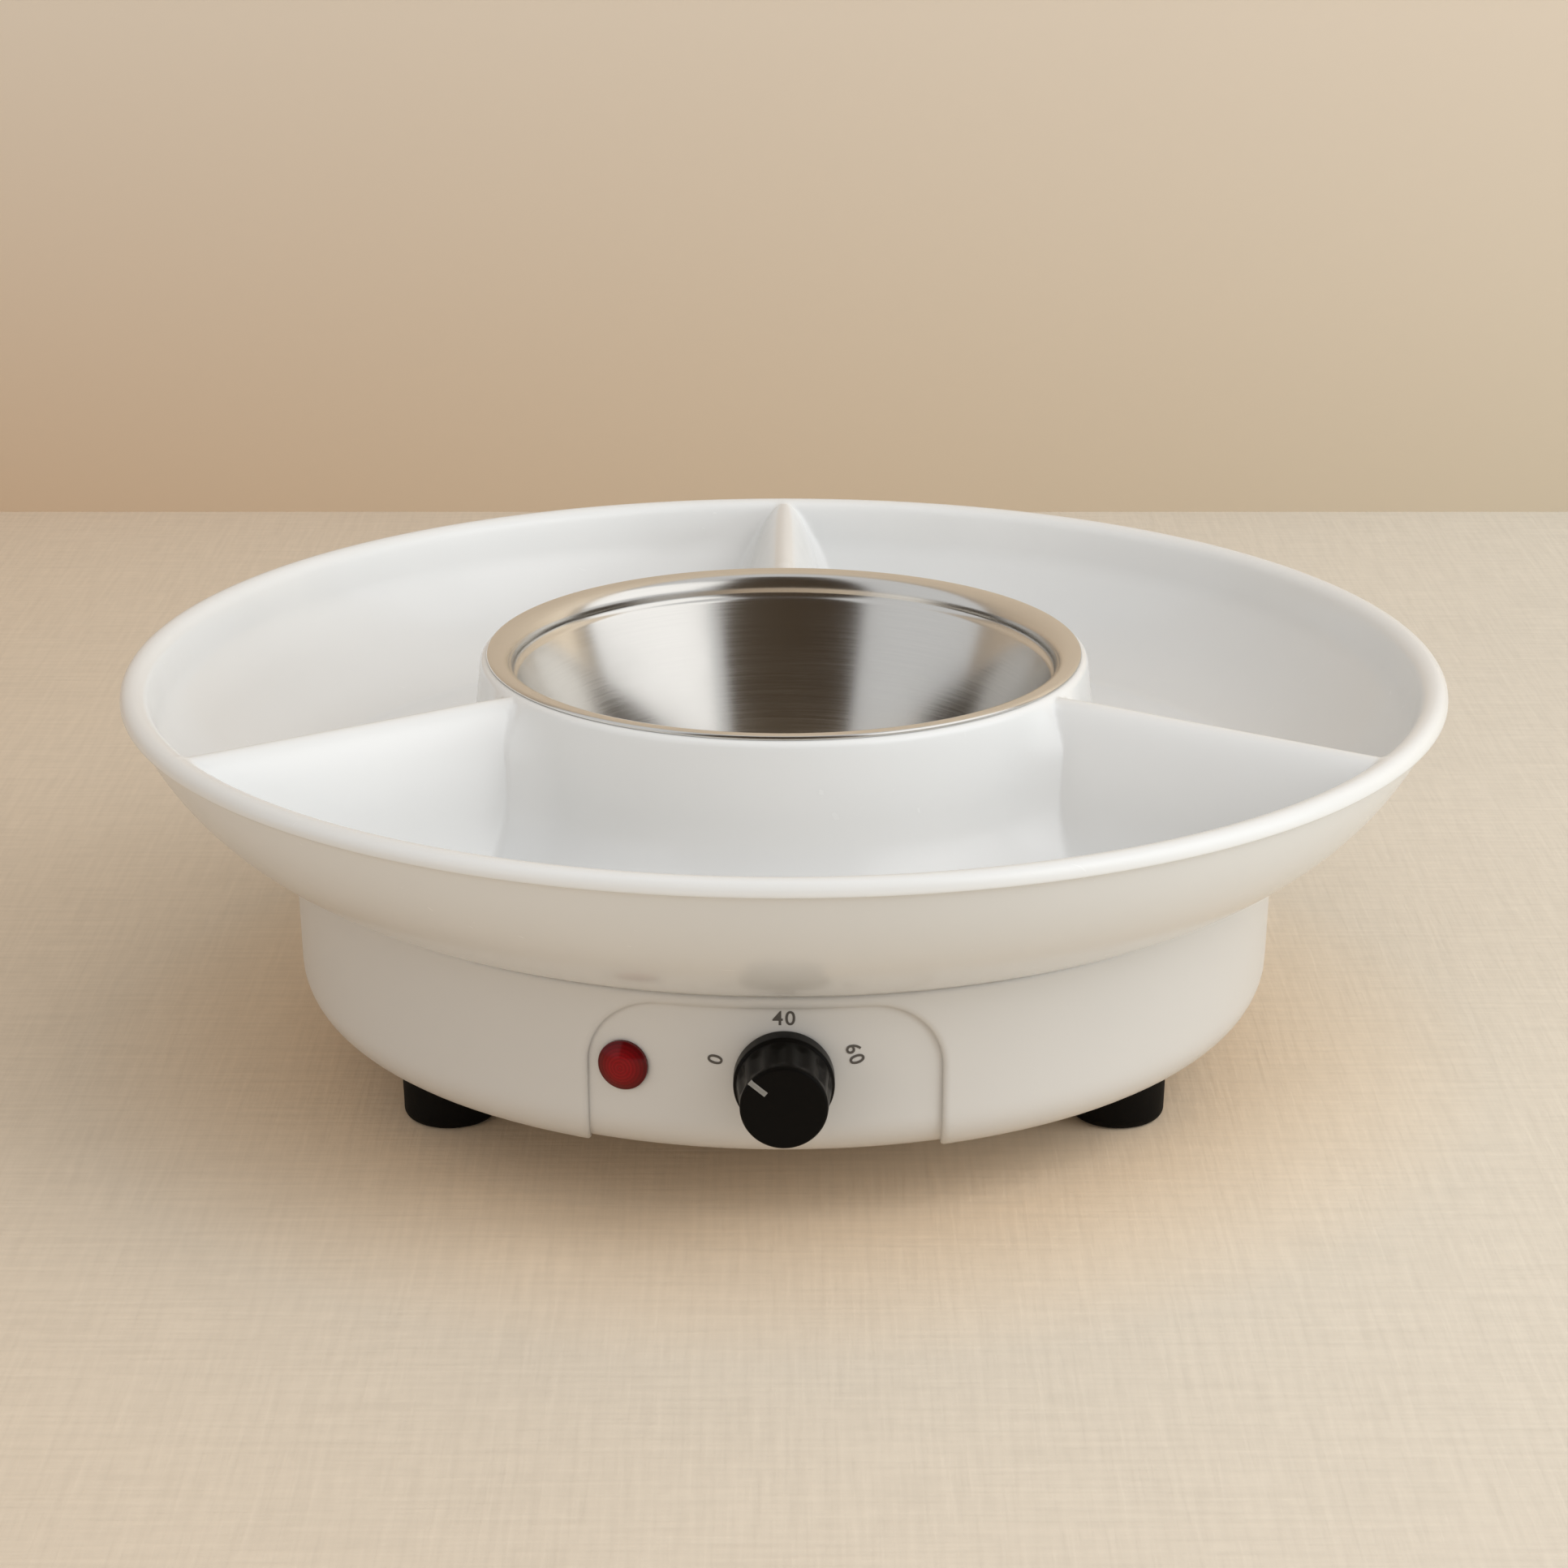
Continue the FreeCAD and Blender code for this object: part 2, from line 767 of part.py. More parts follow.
def recess_lips(shell, blank):
    """The edges where the recess breaks out of the round wall and floor."""
    skin = blank.Shells[0]
    lips = []
    for edge in shell.Edges:
        middle = edge.valueAt((edge.FirstParameter + edge.LastParameter) / 2)
        beside = recess_left - 0.01 < middle.x < recess_right + 0.01
        in_front = middle.y < -recess_end + 0.01 and middle.z < recess_top + 0.01
        if beside and in_front and skin.distToShape(Part.Vertex(middle))[0] < 0.01:
            lips.append(edge)
    return lips


def base_housing():
    """Bucket-shaped shell: round wall, rounded bottom edge, floor with vents, control recess."""
    blank = wall_form(0)
    shell = blank.cut(recess_outline(0).cut(wall_form(recess_depth)))
    shell = shell.makeFillet(recess_edge_round, recess_lips(shell, blank))
    cavity = wall_form(shell_wall)
    cavity = cavity.cut(recess_outline(shell_wall).cut(wall_form(shell_wall + recess_depth)))
    shell = shell.cut(cavity)
    seats = [
        outward(pin(seat_boss_radius, switch_seat, spotface_plane - lap), 270, control_height),
        outward(pin(lamp_boss_radius, lamp_seat, lamp_seat + lamp_boss_height), lens_azimuth, lens_height),
        outward(pin(seat_boss_radius, gland_seat, gland_spotface_plane - lap), gland_azimuth, gland_height),
    ]
    foot_boss = pin(foot_boss_radius, floor_top - lap, floor_top + foot_boss_height)
    screw_pad = pin(screw_pad_radius, floor_top - lap, floor_top + screw_head_height)
    bosses = [moved(foot_boss, *on_circle(foot_ring_radius, angle, 0)) for angle in foot_angles.values()]
    bosses += [moved(screw_pad, *on_circle(deck_screw_ring_radius, angle, 0)) for angle in deck_screw_angles]
    out = base_radius_high + 5 * lap
    inside = gland_barrel_end
    cuts = [
        outward(pin(bushing_radius + fit_gap, inside, out), 270, control_height),
        outward(pin(spotface_radius, spotface_plane, out), 270, control_height),
        outward(pin(lens_barrel_radius + fit_gap, inside, out), lens_azimuth, lens_height),
        outward(pin(gland_barrel_radius + fit_gap, inside, out), gland_azimuth, gland_height),
        outward(pin(gland_flange_radius + fit_gap, gland_spotface_plane, out), gland_azimuth, gland_height),
    ]
    foot_hole = pin(foot_screw_radius + screw_slack, foot_height - lap, floor_top + foot_boss_height + lap)
    head_radius = deck_screw_radius * screw_head_ratio + clear_hole_slack
    head_well = pin(head_radius, foot_height - lap, foot_height + screw_head_height)
    shank_hole = pin(deck_screw_radius + clear_hole_slack, foot_height, floor_top + screw_head_height + lap)
    cuts += [moved(foot_hole, *on_circle(foot_ring_radius, angle, 0)) for angle in foot_angles.values()]
    cuts += [moved(head_well, *on_circle(deck_screw_ring_radius, angle, 0)) for angle in deck_screw_angles]
    cuts += [moved(shank_hole, *on_circle(deck_screw_ring_radius, angle, 0)) for angle in deck_screw_angles]
    return single(joined(shell, seats + bosses).cut(cuts + vents()))


def deck_screws():
    grip = shell_wall + deck_screw_grip
    screw = pan_screw(deck_screw_radius, grip)
    height = foot_height + screw_head_height
    places = [on_circle(deck_screw_ring_radius, angle, height) for angle in deck_screw_angles]
    return Part.makeCompound([moved(screw, *place) for place in places])


def foot(azimuth):
    """A turned rubber foot with a well for its screw."""
    bottom = foot_radius - foot_taper
    body = turned_points([
        point(0, 0),
        point(bottom, 0),
        point(foot_radius, foot_height),
        point(0, foot_height),
    ])
    body = body.makeFillet(foot_round, ring_edges(body, bottom, 0))
    well = pin(foot_well_radius, -lap, foot_well_depth)
    hole = pin(foot_screw_radius + clear_hole_slack, -lap, foot_height + lap)
    return moved(single(body.cut([well, hole])), *on_circle(foot_ring_radius, azimuth, 0))


def foot_screws():
    length = foot_height - foot_well_depth + shell_wall + foot_boss_height
    screw = pan_screw(foot_screw_radius, length)
    places = [on_circle(foot_ring_radius, angle, foot_well_depth) for angle in foot_angles.values()]
    return Part.makeCompound([moved(screw, *place) for place in places])


# Heater

def heating_element():
    """C-shaped sheathed element with a flat top; its cold ends run out to the front."""
    body = Part.makeTorus(element_ring_radius, element_radius, FreeCAD.Vector(0, 0, element_height))
    half_gap = math.radians(element_gap_half)
    gap_width = 2 * element_ring_radius * math.tan(half_gap)
    gap_corner = FreeCAD.Vector(-gap_width / 2, -element_ring_radius * 2, element_height - element_radius * 2)
    body = body.cut(Part.makeBox(gap_width, element_ring_radius * 2, element_radius * 4, gap_corner))
    pins = []
    for side in (-1, 1):
        place = on_circle(element_ring_radius, 270 + side * element_gap_half, element_height)
        along = on_circle(1, 270 + side * element_gap_half, 0)
        cold_end = Part.makeCylinder(element_radius, terminal_cap_length, place, along)
        tip = Part.makeCylinder(terminal_pin_radius, terminal_reach - element_ring_radius, place, along)
        pins += [cold_end, tip, Part.makeSphere(element_radius, place)]
    body = joined(body, pins)
    flat = block(terminal_reach * 3, terminal_reach * 3, dish_under, dish_under + element_radius)
    return single(body.cut(flat))


def clamp_arm(end):
    """One bent arm of the clamp along +X, from the hub up to the element."""
    def at(x, z):
        return FreeCAD.Vector(x, -clamp_arm_width / 2, z)
    corners = [
        at(0, hub_top),
        at(clamp_bend_inner, hub_top),
        at(clamp_bend_outer, clamp_top),
        at(end, clamp_top),
        at(end, clamp_top - clamp_sheet),
        at(clamp_bend_outer + clamp_sheet / 2, clamp_top - clamp_sheet),
        at(clamp_bend_inner + clamp_sheet / 2, hub_top - clamp_sheet),
        at(0, hub_top - clamp_sheet),
        at(0, hub_top),
    ]
    return Part.Face(Part.makePolygon(corners)).extrude(FreeCAD.Vector(0, clamp_arm_width, 0))


def element_clamp():
    """Pressed spider: three raised arms under the element, a flat bar under the thermostats."""
    hub = pin(clamp_hub_radius, hub_top - clamp_sheet, hub_top)
    arms = [turned_to(clamp_arm(clamp_arm_end), angle) for angle in divider_angles]
    bar = block(2 * (thermostat_ring_radius + thermostat_radius), clamp_arm_width, hub_top - clamp_sheet, hub_top)
    plate = joined(hub, arms + [bar])
    return single(plate.cut(pin(stud_radius + fit_gap, hub_top - 2 * lap, hub_top + lap)))


def stud_nut(top):
    body = hexagon(nut_flats, top - nut_height, top)
    return single(body.cut(pin(stud_radius + screw_slack, top - nut_height - lap, top + lap)))


def heat_shield():
    """Pressed pan under the element, notched where the terminals come out."""
    low = shield_top - shield_sheet
    rim_outer = shield_rim_radius + shield_sheet
    pan = turned_points([
        point(0, low),
        point(shield_floor_radius, low),
        point(rim_outer, shield_rim_height),
        point(shield_rim_radius, shield_rim_height),
        point(shield_floor_radius - shield_sheet, shield_top),
        point(0, shield_top),
    ])
    notch = Part.makeBox(terminal_reach, shield_notch, shield_rim_height,
                         FreeCAD.Vector(element_ring_radius, -shield_notch / 2, element_height - shield_notch / 2))
    cuts = [turned_to(notch, 270 + side * element_gap_half) for side in (-1, 1)]
    return single(pan.cut(cuts + [pin(stud_radius + fit_gap, low - lap, shield_top + lap)]))


def thermostat(azimuth):
    """Disc thermostat: aluminium cap against the dish, moulded body and two blades."""
    cap = pin(thermostat_radius, dish_under - thermostat_cap, dish_under)
    body = pin(thermostat_body_radius, dish_under - thermostat_height, dish_under - thermostat_cap)
    return turned_to(moved(single(joined(cap, [body])), thermostat_ring_radius, 0, 0), azimuth)


def fuse_place(shape):
    """A shape modelled along +Y under the dish, taken to the fuse's place."""
    return turned_to(moved(shape, fuse_ring_radius, 0, 0), fuse_angle)


def thermal_fuse():
    start = FreeCAD.Vector(0, -fuse_length / 2, dish_under - fuse_radius - fuse_clip_sheet / 2)
    barrel = Part.makeCylinder(fuse_radius, fuse_length, start, FreeCAD.Vector(0, 1, 0))
    return fuse_place(barrel)


def fuse_clip():
    """Sheet saddle under the fuse, its feet welded to the dish."""
    inner = fuse_radius + screw_slack
    outer = inner + fuse_clip_sheet
    centre = dish_under - fuse_radius - fuse_clip_sheet / 2
    start = FreeCAD.Vector(0, -fuse_clip_width / 2, centre)
    along = FreeCAD.Vector(0, 1, 0)
    saddle = Part.makeCylinder(outer, fuse_clip_width, start, along)
    corner = FreeCAD.Vector(-outer, -fuse_clip_width / 2, centre)
    upper = Part.makeBox(outer * 2, fuse_clip_width, outer, corner)
    foot_width = outer * 2 + fuse_clip_width
    feet = block(foot_width, fuse_clip_width, dish_under - fuse_clip_sheet, dish_under)
    sides = block(outer * 2, fuse_clip_width, centre, dish_under)
    saddle = joined(saddle.cut(upper), [feet, sides])
    bore = Part.makeCylinder(inner, fuse_clip_width + 2 * lap, start.sub(along * lap), along)
    slot = block(inner * 2, fuse_clip_width + 2 * lap, centre, dish_under + lap)
    return fuse_place(single(saddle.cut([bore, slot])))


# Switch and knob

def rotary_switch():
    """Moulded switch body with its threaded bushing and the bore that the shaft turns in."""
    back = switch_seat - switch_depth
    body = block(switch_width, switch_width, back, switch_seat)
    corners = [edge for edge in body.Edges if edge.BoundBox.ZLength > 1]
    body = body.makeChamfer(switch_edge, corners)
    bushing = pin(bushing_radius, switch_seat, switch_seat + bushing_length)
    bore_radius = shaft_radius + shaft_running_gap
    bore = pin(bore_radius, back + switch_bore_floor, switch_seat + bushing_length + lap)
    return outward(single(joined(body, [bushing]).cut(bore)), 270, control_height)


def switch_tabs():
    """Three blades at the switch's back."""
    back = switch_seat - switch_depth
    tabs = []
    for step in range(tab_count):
        across = (step - (tab_count - 1) / 2) * tab_pitch
        blade = moved(block(tab_thickness, tab_width, back - tab_length, back), across, 0, 0)
        tabs.append(outward(blade, 270, control_height))
    return Part.makeCompound(tabs)


def switch_washer():
    washer = ring(bushing_radius + fit_gap, washer_radius, spotface_plane, spotface_plane + washer_thickness)
    return outward(single(washer), 270, control_height)


def switch_nut():
    low = spotface_plane + washer_thickness
    body = hexagon(switch_nut_flats, low, low + switch_nut_height)
    body = body.cut(pin(bushing_radius + screw_slack, low - lap, low + switch_nut_height + lap))
    return outward(single(body), 270, control_height)


def shaft_section(radius, low, high):
    """A round shaft section with its flat on the pointer's side."""
    body = pin(radius, low, high)
    flat_at = shaft_radius - shaft_flat + (radius - shaft_radius)
    corner = FreeCAD.Vector(flat_at, -radius * 2, low - lap)
    flat = Part.makeBox(radius, radius * 4, high - low + 2 * lap, corner)
    return turned_to(body.cut(flat), pointer_angle)


def switch_shaft():
    back = switch_seat - switch_depth + switch_bore_floor + shaft_end_play
    flat_start = shaft_end - shaft_flat_length
    shaft = pin(shaft_radius, back, flat_start).fuse(shaft_section(shaft_radius, flat_start, shaft_end))
    return outward(single(shaft.removeSplitter()), 270, control_height)


def pointer_bar(low, high):
    width = pointer_outer - pointer_inner
    corner = FreeCAD.Vector(pointer_inner, -pointer_width / 2, low)
    return turned_to(Part.makeBox(width, pointer_width, high - low, corner), pointer_angle)


def knob_clip_bar(low, high, grow):
    """The space of the spring leaf between the shaft's flat and the knob."""
    inner = shaft_radius - shaft_flat + fit_gap
    bar = Part.makeBox(knob_clip_sheet + grow, knob_clip_width + 2 * grow, high - low,
                       FreeCAD.Vector(inner - grow / 2, -knob_clip_width / 2 - grow, low))
    return turned_to(bar, pointer_angle)


def control_knob():
    """Skirted knob with a tapered, fluted grip, hollow behind to clear the switch's nut."""
    grip_start = knob_back + knob_skirt_length
    knob = turned_points([
        point(0, knob_back),
        point(knob_skirt_radius, knob_back),
        point(knob_skirt_radius, grip_start - knob_skirt_chamfer),
        point(knob_skirt_radius - knob_skirt_chamfer, grip_start),
        point(grip_radius_back, grip_start),
        point(grip_radius_front, knob_face),
        point(0, knob_face),
    ])
    flutes = []
    for step in range(flute_count):
        start = FreeCAD.Vector(grip_radius_back + flute_radius - flute_depth, 0, grip_start + flute_start)
        end_radius = grip_radius_front + flute_radius - flute_depth
        along = FreeCAD.Vector(end_radius - start.x, 0, knob_face - start.z)
        length = knob_face - flute_stop - start.z
        flute = Part.makeCylinder(flute_radius, length, start, along)
        flutes.append(turned_to(flute, flute_phase + 360 * step / flute_count))
    knob = knob.makeFillet(knob_face_round, ring_edges(knob, grip_radius_front, knob_face))
    pocket_end = switch_seat + bushing_length + knob_pocket_gap
    cuts = flutes + [
        pin(knob_pocket_radius, knob_back - lap, pocket_end),
        shaft_section(shaft_radius + fit_gap, pocket_end - lap, shaft_end + fit_gap),
        knob_clip_bar(pocket_end - lap, pocket_end + knob_clip_length + fit_gap, fit_gap),
        pointer_bar(knob_face - pointer_depth, knob_face + lap),
    ]
    return outward(single(knob.cut(cuts)), 270, control_height)


def knob_pointer():
    return outward(pointer_bar(knob_face - pointer_depth, knob_face), 270, control_height)


def knob_clip():
    low = switch_seat + bushing_length + knob_pocket_gap
    return outward(knob_clip_bar(low, low + knob_clip_length, 0), 270, control_height)


# Indicator lamp

def indicator_lens():
    """Domed lens with a flange and a hollow barrel through the wall."""
    flange = pin(lens_radius, lens_surface, lens_surface + lens_flange)
    sphere_radius = (lens_radius ** 2 + lens_dome ** 2) / (2 * lens_dome)
    dome_low = lens_surface + lens_flange
    dome_high = dome_low + lens_dome
    sphere = Part.makeSphere(sphere_radius, FreeCAD.Vector(0, 0, dome_high - sphere_radius))
    dome = sphere.common(pin(lens_radius, dome_low, dome_high + lap))
    barrel = pin(lens_barrel_radius, lens_back, lens_surface + lens_flange / 2)
    bore = pin(lens_bore_radius, lens_back - lap, lens_surface + lens_flange - lens_skin)
    return outward(single(joined(flange, [dome, barrel]).cut(bore)), lens_azimuth, lens_height)


def neon_lamp():
    low = lens_back + lamp_setback
    glass = pin(lamp_radius, low, low + lamp_length)
    glass = glass.makeFillet(lamp_round, ring_edges(glass, lamp_radius, low + lamp_length))
    return outward(glass, lens_azimuth, lens_height)


def lens_clip():
    clip = ring(lens_barrel_radius + screw_slack, lens_clip_radius, lamp_seat - lens_clip_sheet, lamp_seat)
    return outward(single(clip), lens_azimuth, lens_height)


# Supply inlet and terminal block

def cord_gland():
    """Bushing that the supply cord comes in through."""
    high = gland_spotface_plane + gland_flange
    flange = pin(gland_flange_radius, gland_spotface_plane, high)
    flange = flange.makeFillet(gland_round, ring_edges(flange, gland_flange_radius, high))
    barrel = pin(gland_barrel_radius, gland_barrel_end, gland_spotface_plane + gland_flange / 2)
    bore = pin(gland_bore_radius, gland_barrel_end - lap, high + lap)
    return outward(single(joined(flange, [barrel]).cut(bore)), gland_azimuth, gland_height)


def gland_nut():
    low = gland_seat - gland_nut_height
    body = hexagon(gland_nut_flats, low, gland_seat)
    body = body.cut(pin(gland_barrel_radius + screw_slack, low - lap, gland_seat + lap))
    return outward(single(body), gland_azimuth, gland_height)


def block_lug_places():
    return [side * (block_length - block_lug_length) / 2 for side in (-1, 1)]


def pole_places():
    return [(step - (pole_count - 1) / 2) * pole_pitch for step in range(pole_count)]


def pole_height():
    return block_top - pole_drop


def terminal_block():
    """Nylon block: three humps with a wire bore and two screw wells each, and a lug at each end."""
    lug = block(block_length, block_lug_depth, block_top - block_lug_height, block_top)
    body = block(block_body_length, block_depth, block_top - block_height, block_top)
    lower_edges = [edge for edge in body.Edges if edge.BoundBox.ZMax < block_top - lap]
    body = body.makeChamfer(block_chamfer, lower_edges)
    body = joined(body, [lug])
    cuts = []
    for x in pole_places():
        start = FreeCAD.Vector(x, -block_depth, pole_height())
        bore_radius = sleeve_radius + screw_slack
        cuts.append(Part.makeCylinder(bore_radius, block_depth * 2, start, FreeCAD.Vector(0, 1, 0)))
        for side in (-1, 1):
            well = pin(well_radius, block_top - block_height - lap, pole_height())
            cuts.append(moved(well, x, side * well_offset, 0))
    lug_hole = pin(block_screw_radius + clear_hole_slack, block_top - block_height, block_top + lap)
    cuts += [moved(lug_hole, x, 0, 0) for x in block_lug_places()]
    return moved(single(body.cut(cuts)), 0, block_y, 0)


def terminal_sleeves():
    """Brass tubes in the block's bores, tapped for their screws."""
    sleeves = []
    for x in pole_places():
        start = FreeCAD.Vector(x, block_y - sleeve_length / 2, pole_height())
        along = FreeCAD.Vector(0, 1, 0)
        tube = Part.makeCylinder(sleeve_radius, sleeve_length, start, along)
        tube = tube.cut(Part.makeCylinder(sleeve_bore, sleeve_length, start, along))
        for side in (-1, 1):
            tap = pin(terminal_screw_radius + screw_slack, pole_height() - sleeve_radius - lap, pole_height())
            tube = tube.cut(moved(tap, x, block_y + side * well_offset, 0))
        sleeves.append(single(tube))
    return Part.makeCompound(sleeves)


def terminal_screws():
    screws = []
    low = block_top - block_height + terminal_screw_sink
    for x in pole_places():
        for side in (-1, 1):
            screw = pin(terminal_screw_radius, low, pole_height() - sleeve_bore / 2)
            screws.append(moved(screw, x, block_y + side * well_offset, 0))
    return Part.makeCompound(screws)


def block_screws():
    screw = pan_screw(block_screw_radius, block_screw_length)
    height = block_top - block_lug_height
    return Part.makeCompound([moved(screw, x, block_y, height) for x in block_lug_places()])


# Wiring

def lead_wire(points):
    """Straight runs joined by tangent arcs, each arc as large as its two runs allow."""
    edges = []
    start = points[0]
    for i in range(1, len(points) - 1):
        back = points[i - 1].sub(points[i])
        ahead = points[i + 1].sub(points[i])
        reach = lead_run_share * min(back.Length, ahead.Length)
        turn = math.pi - back.getAngle(ahead)
        back.normalize()
        ahead.normalize()
        first = points[i].add(back * reach)
        last = points[i].add(ahead * reach)
        radius = reach / math.tan(turn / 2)
        half = back.add(ahead)
        half.normalize()
        middle = points[i].add(half * (radius / math.cos(turn / 2) - radius))
        edges += [line(start, first), arc(first, middle, last)]
        start = last
        print("bend radius", round(radius, 1))
    edges.append(line(start, points[-1]))
    return Part.Wire(edges)


def lead(radius, points):
    vectors = [FreeCAD.Vector(*place) for place in points]
    path = lead_wire(vectors)
    profile = Part.Wire([Part.makeCircle(radius, vectors[0], vectors[1].sub(vectors[0]))])
    tube = path.makePipeShell([profile], True, False)
    print("volume ratio", round(tube.Volume / (math.pi * radius ** 2 * path.Length), 4))
    return tube.Solids[0]


def terminal_end(side, reach):
    """A point on the axis of one of the element's terminals, at a distance from the centre."""
    return tuple(on_circle(reach, 270 + side * element_gap_half, element_height))


def lamp_point(reach, rise):
    """A point on a line out of the lamp's back."""
    return tuple(on_circle(reach, lens_azimuth, lens_height + rise))


def harness_point(side, azimuth, reach, rise):
    """A point on the leads' way round the housing; side -1 mirrors it to the left."""
    place = on_circle(reach, azimuth, harness_height + rise)
    return (side * place.x, place.y, place.z)


def harness(side):
    """The way from a terminal of the block round the inside of the wall towards the front."""
    first, second = harness_start_angles
    way = [
        (side * pole_pitch, block_y - sleeve_length / 2 - lead_end_gap, pole_height()),
        harness_point(side, first, harness_inner, harness_rise),
        harness_point(side, second, harness_inner, harness_rise / 4),
    ]
    return way + [harness_point(side, azimuth, harness_radius, 0) for azimuth in harness_angles]


def wiring():
    """Leads from the terminal block and the lamp to switch, element and earth."""
    block_face = block_y - sleeve_length / 2 - lead_end_gap
    tab_end = -(switch_seat - switch_depth - tab_length) + lead_end_gap
    tab_side = -tab_pitch - tab_thickness / 2 - lead_end_gap
    lamp_end = terminal_end(-1, terminal_reach - 3)
    lamp_back = lens_back + lamp_setback - lead_end_gap
    lamp_turn = lens_back - lamp_lead_first_run
    high = pole_height()
    return {
        "supply_lead": lead(lead_radius, harness(1) + [
            harness_point(1, -60.3, harness_radius, 0),
            harness_point(1, -73.4, harness_radius - lead_radius * 2, 0),
            harness_point(1, -84.8, harness_radius - lead_radius * 5, harness_rise),
            (0, tab_end + lead_first_run, control_height),
            (0, tab_end, control_height)]),
        "neutral_lead": lead(lead_radius, harness(-1) + [
            harness_point(-1, -59.2, harness_radius, harness_rise),
            terminal_end(-1, terminal_reach + lead_first_run),
            terminal_end(-1, terminal_reach + lead_end_gap)]),
        "switch_lead": lead(lead_radius, [
            (tab_pitch, tab_end, control_height), (tab_pitch, tab_end + lamp_lead_first_run, control_height),
            terminal_end(1, terminal_reach + lead_first_run),
            terminal_end(1, terminal_reach + lead_end_gap)]),
        "earth_lead": lead(lead_radius, [
            (0, block_face, high),
            (0.5, harness_inner - 1, high + 2),
            (-0.5, shield_rim_radius + 1.5, shield_rim_height - 6),
            (0, shield_rim_radius - 2, shield_rim_height - 5)]),
        "lamp_leads": Part.makeCompound([
            lead(lamp_lead_radius, [
                lamp_point(lamp_back, lamp_lead_offset), lamp_point(lamp_turn, lamp_lead_offset),
                (-24.5, -77, 43), (-20.5, -66.5, 46), (-16.8, -56.2, 46.8),
                (lamp_end[0], lamp_end[1], element_height + terminal_pin_radius + screw_slack * 6)]),
            lead(lamp_lead_radius, [
                lamp_point(lamp_back, -lamp_lead_offset), lamp_point(lamp_turn, -lamp_lead_offset),
                (tab_side - 10, -85, control_height - 0.3), (tab_side, -85, control_height - 0.3)]),
        ]),
    }


# Every piece by its node name

def all_pieces():
    pieces = {
        "serving_tray": serving_tray(),
        "melting_bowl": melting_bowl(),
        "heating_dish": heating_dish(),
        "dish_gasket": dish_gasket(),
        "dish_screws": dish_screws(),
        "top_deck": top_deck(),
        "base_housing": base_housing(),
        "deck_screws": deck_screws(),
        "foot_screws": foot_screws(),
        "heating_element": heating_element(),
        "element_clamp": element_clamp(),
        "clamp_nut": stud_nut(clamp_nut_top),
        "heat_shield": heat_shield(),
        "shield_nut": stud_nut(shield_nut_top),
        "melt_thermostat": thermostat(0),
        "warm_thermostat": thermostat(180),
        "thermal_fuse": thermal_fuse(),
        "fuse_clip": fuse_clip(),
        "rotary_switch": rotary_switch(),
        "switch_tabs": switch_tabs(),
        "switch_washer": switch_washer(),
        "switch_nut": switch_nut(),
        "switch_shaft": switch_shaft(),
        "control_knob": control_knob(),
        "knob_pointer": knob_pointer(),
        "knob_clip": knob_clip(),
        "indicator_lens": indicator_lens(),
        "neon_lamp": neon_lamp(),
        "lens_clip": lens_clip(),
        "cord_gland": cord_gland(),
        "gland_nut": gland_nut(),
        "terminal_block": terminal_block(),
        "terminal_sleeves": terminal_sleeves(),
        "terminal_screws": terminal_screws(),
        "block_screws": block_screws(),
    }
    for name, azimuth in foot_angles.items():
        pieces[name] = foot(azimuth)
    pieces.update(wiring())
    return pieces


os.makedirs("parts", exist_ok=True)
for name, shape in all_pieces().items():
    shape.exportStep("parts/" + name + ".step")
    print(name, len(shape.Solids), shape.isValid(), round(shape.Volume, 1))
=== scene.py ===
import json
import math

import bmesh
import bpy
from mathutils import Matrix, Vector


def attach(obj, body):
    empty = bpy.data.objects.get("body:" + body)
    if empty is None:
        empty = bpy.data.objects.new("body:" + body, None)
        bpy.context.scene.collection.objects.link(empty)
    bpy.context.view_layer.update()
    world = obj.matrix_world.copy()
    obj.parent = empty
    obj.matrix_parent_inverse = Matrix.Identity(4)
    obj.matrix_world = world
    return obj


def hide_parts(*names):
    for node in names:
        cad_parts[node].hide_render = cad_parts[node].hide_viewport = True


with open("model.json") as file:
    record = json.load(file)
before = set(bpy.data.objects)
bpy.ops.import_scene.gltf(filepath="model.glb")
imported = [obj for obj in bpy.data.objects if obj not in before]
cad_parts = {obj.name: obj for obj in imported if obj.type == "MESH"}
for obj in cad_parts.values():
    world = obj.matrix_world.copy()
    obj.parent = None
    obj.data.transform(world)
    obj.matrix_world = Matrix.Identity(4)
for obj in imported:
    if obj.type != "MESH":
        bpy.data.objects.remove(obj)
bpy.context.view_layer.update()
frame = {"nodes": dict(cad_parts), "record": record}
nodes = frame["nodes"]
scene = bpy.context.scene

# A chocolate melter on a pale table. Metres, with the knob towards -Y.

# Sizes that the scene shares with the model
MM = 0.001
control_height = 0.0378
panel_radius = 0.11115
wall_lean = 0.7 / 28.3
lens_azimuth = math.radians(252.74)
lens_radius = 0.00535
lens_height = 0.0386


# Camera and stage

def add_camera():
    """The photograph's viewpoint, worked out from the outlines of tray, bowl and base."""
    data = bpy.data.cameras.new("camera")
    data.sensor_width = 36.0
    data.lens = 83.85
    data.clip_start = 0.01
    data.clip_end = 50.0
    camera = bpy.data.objects.new("camera", data)
    camera.location = (0.0, -0.80134, 0.333668)
    camera.rotation_euler = (math.pi / 2 - 0.325, 0.0, 0.0)
    scene.collection.objects.link(camera)
    scene.camera = camera


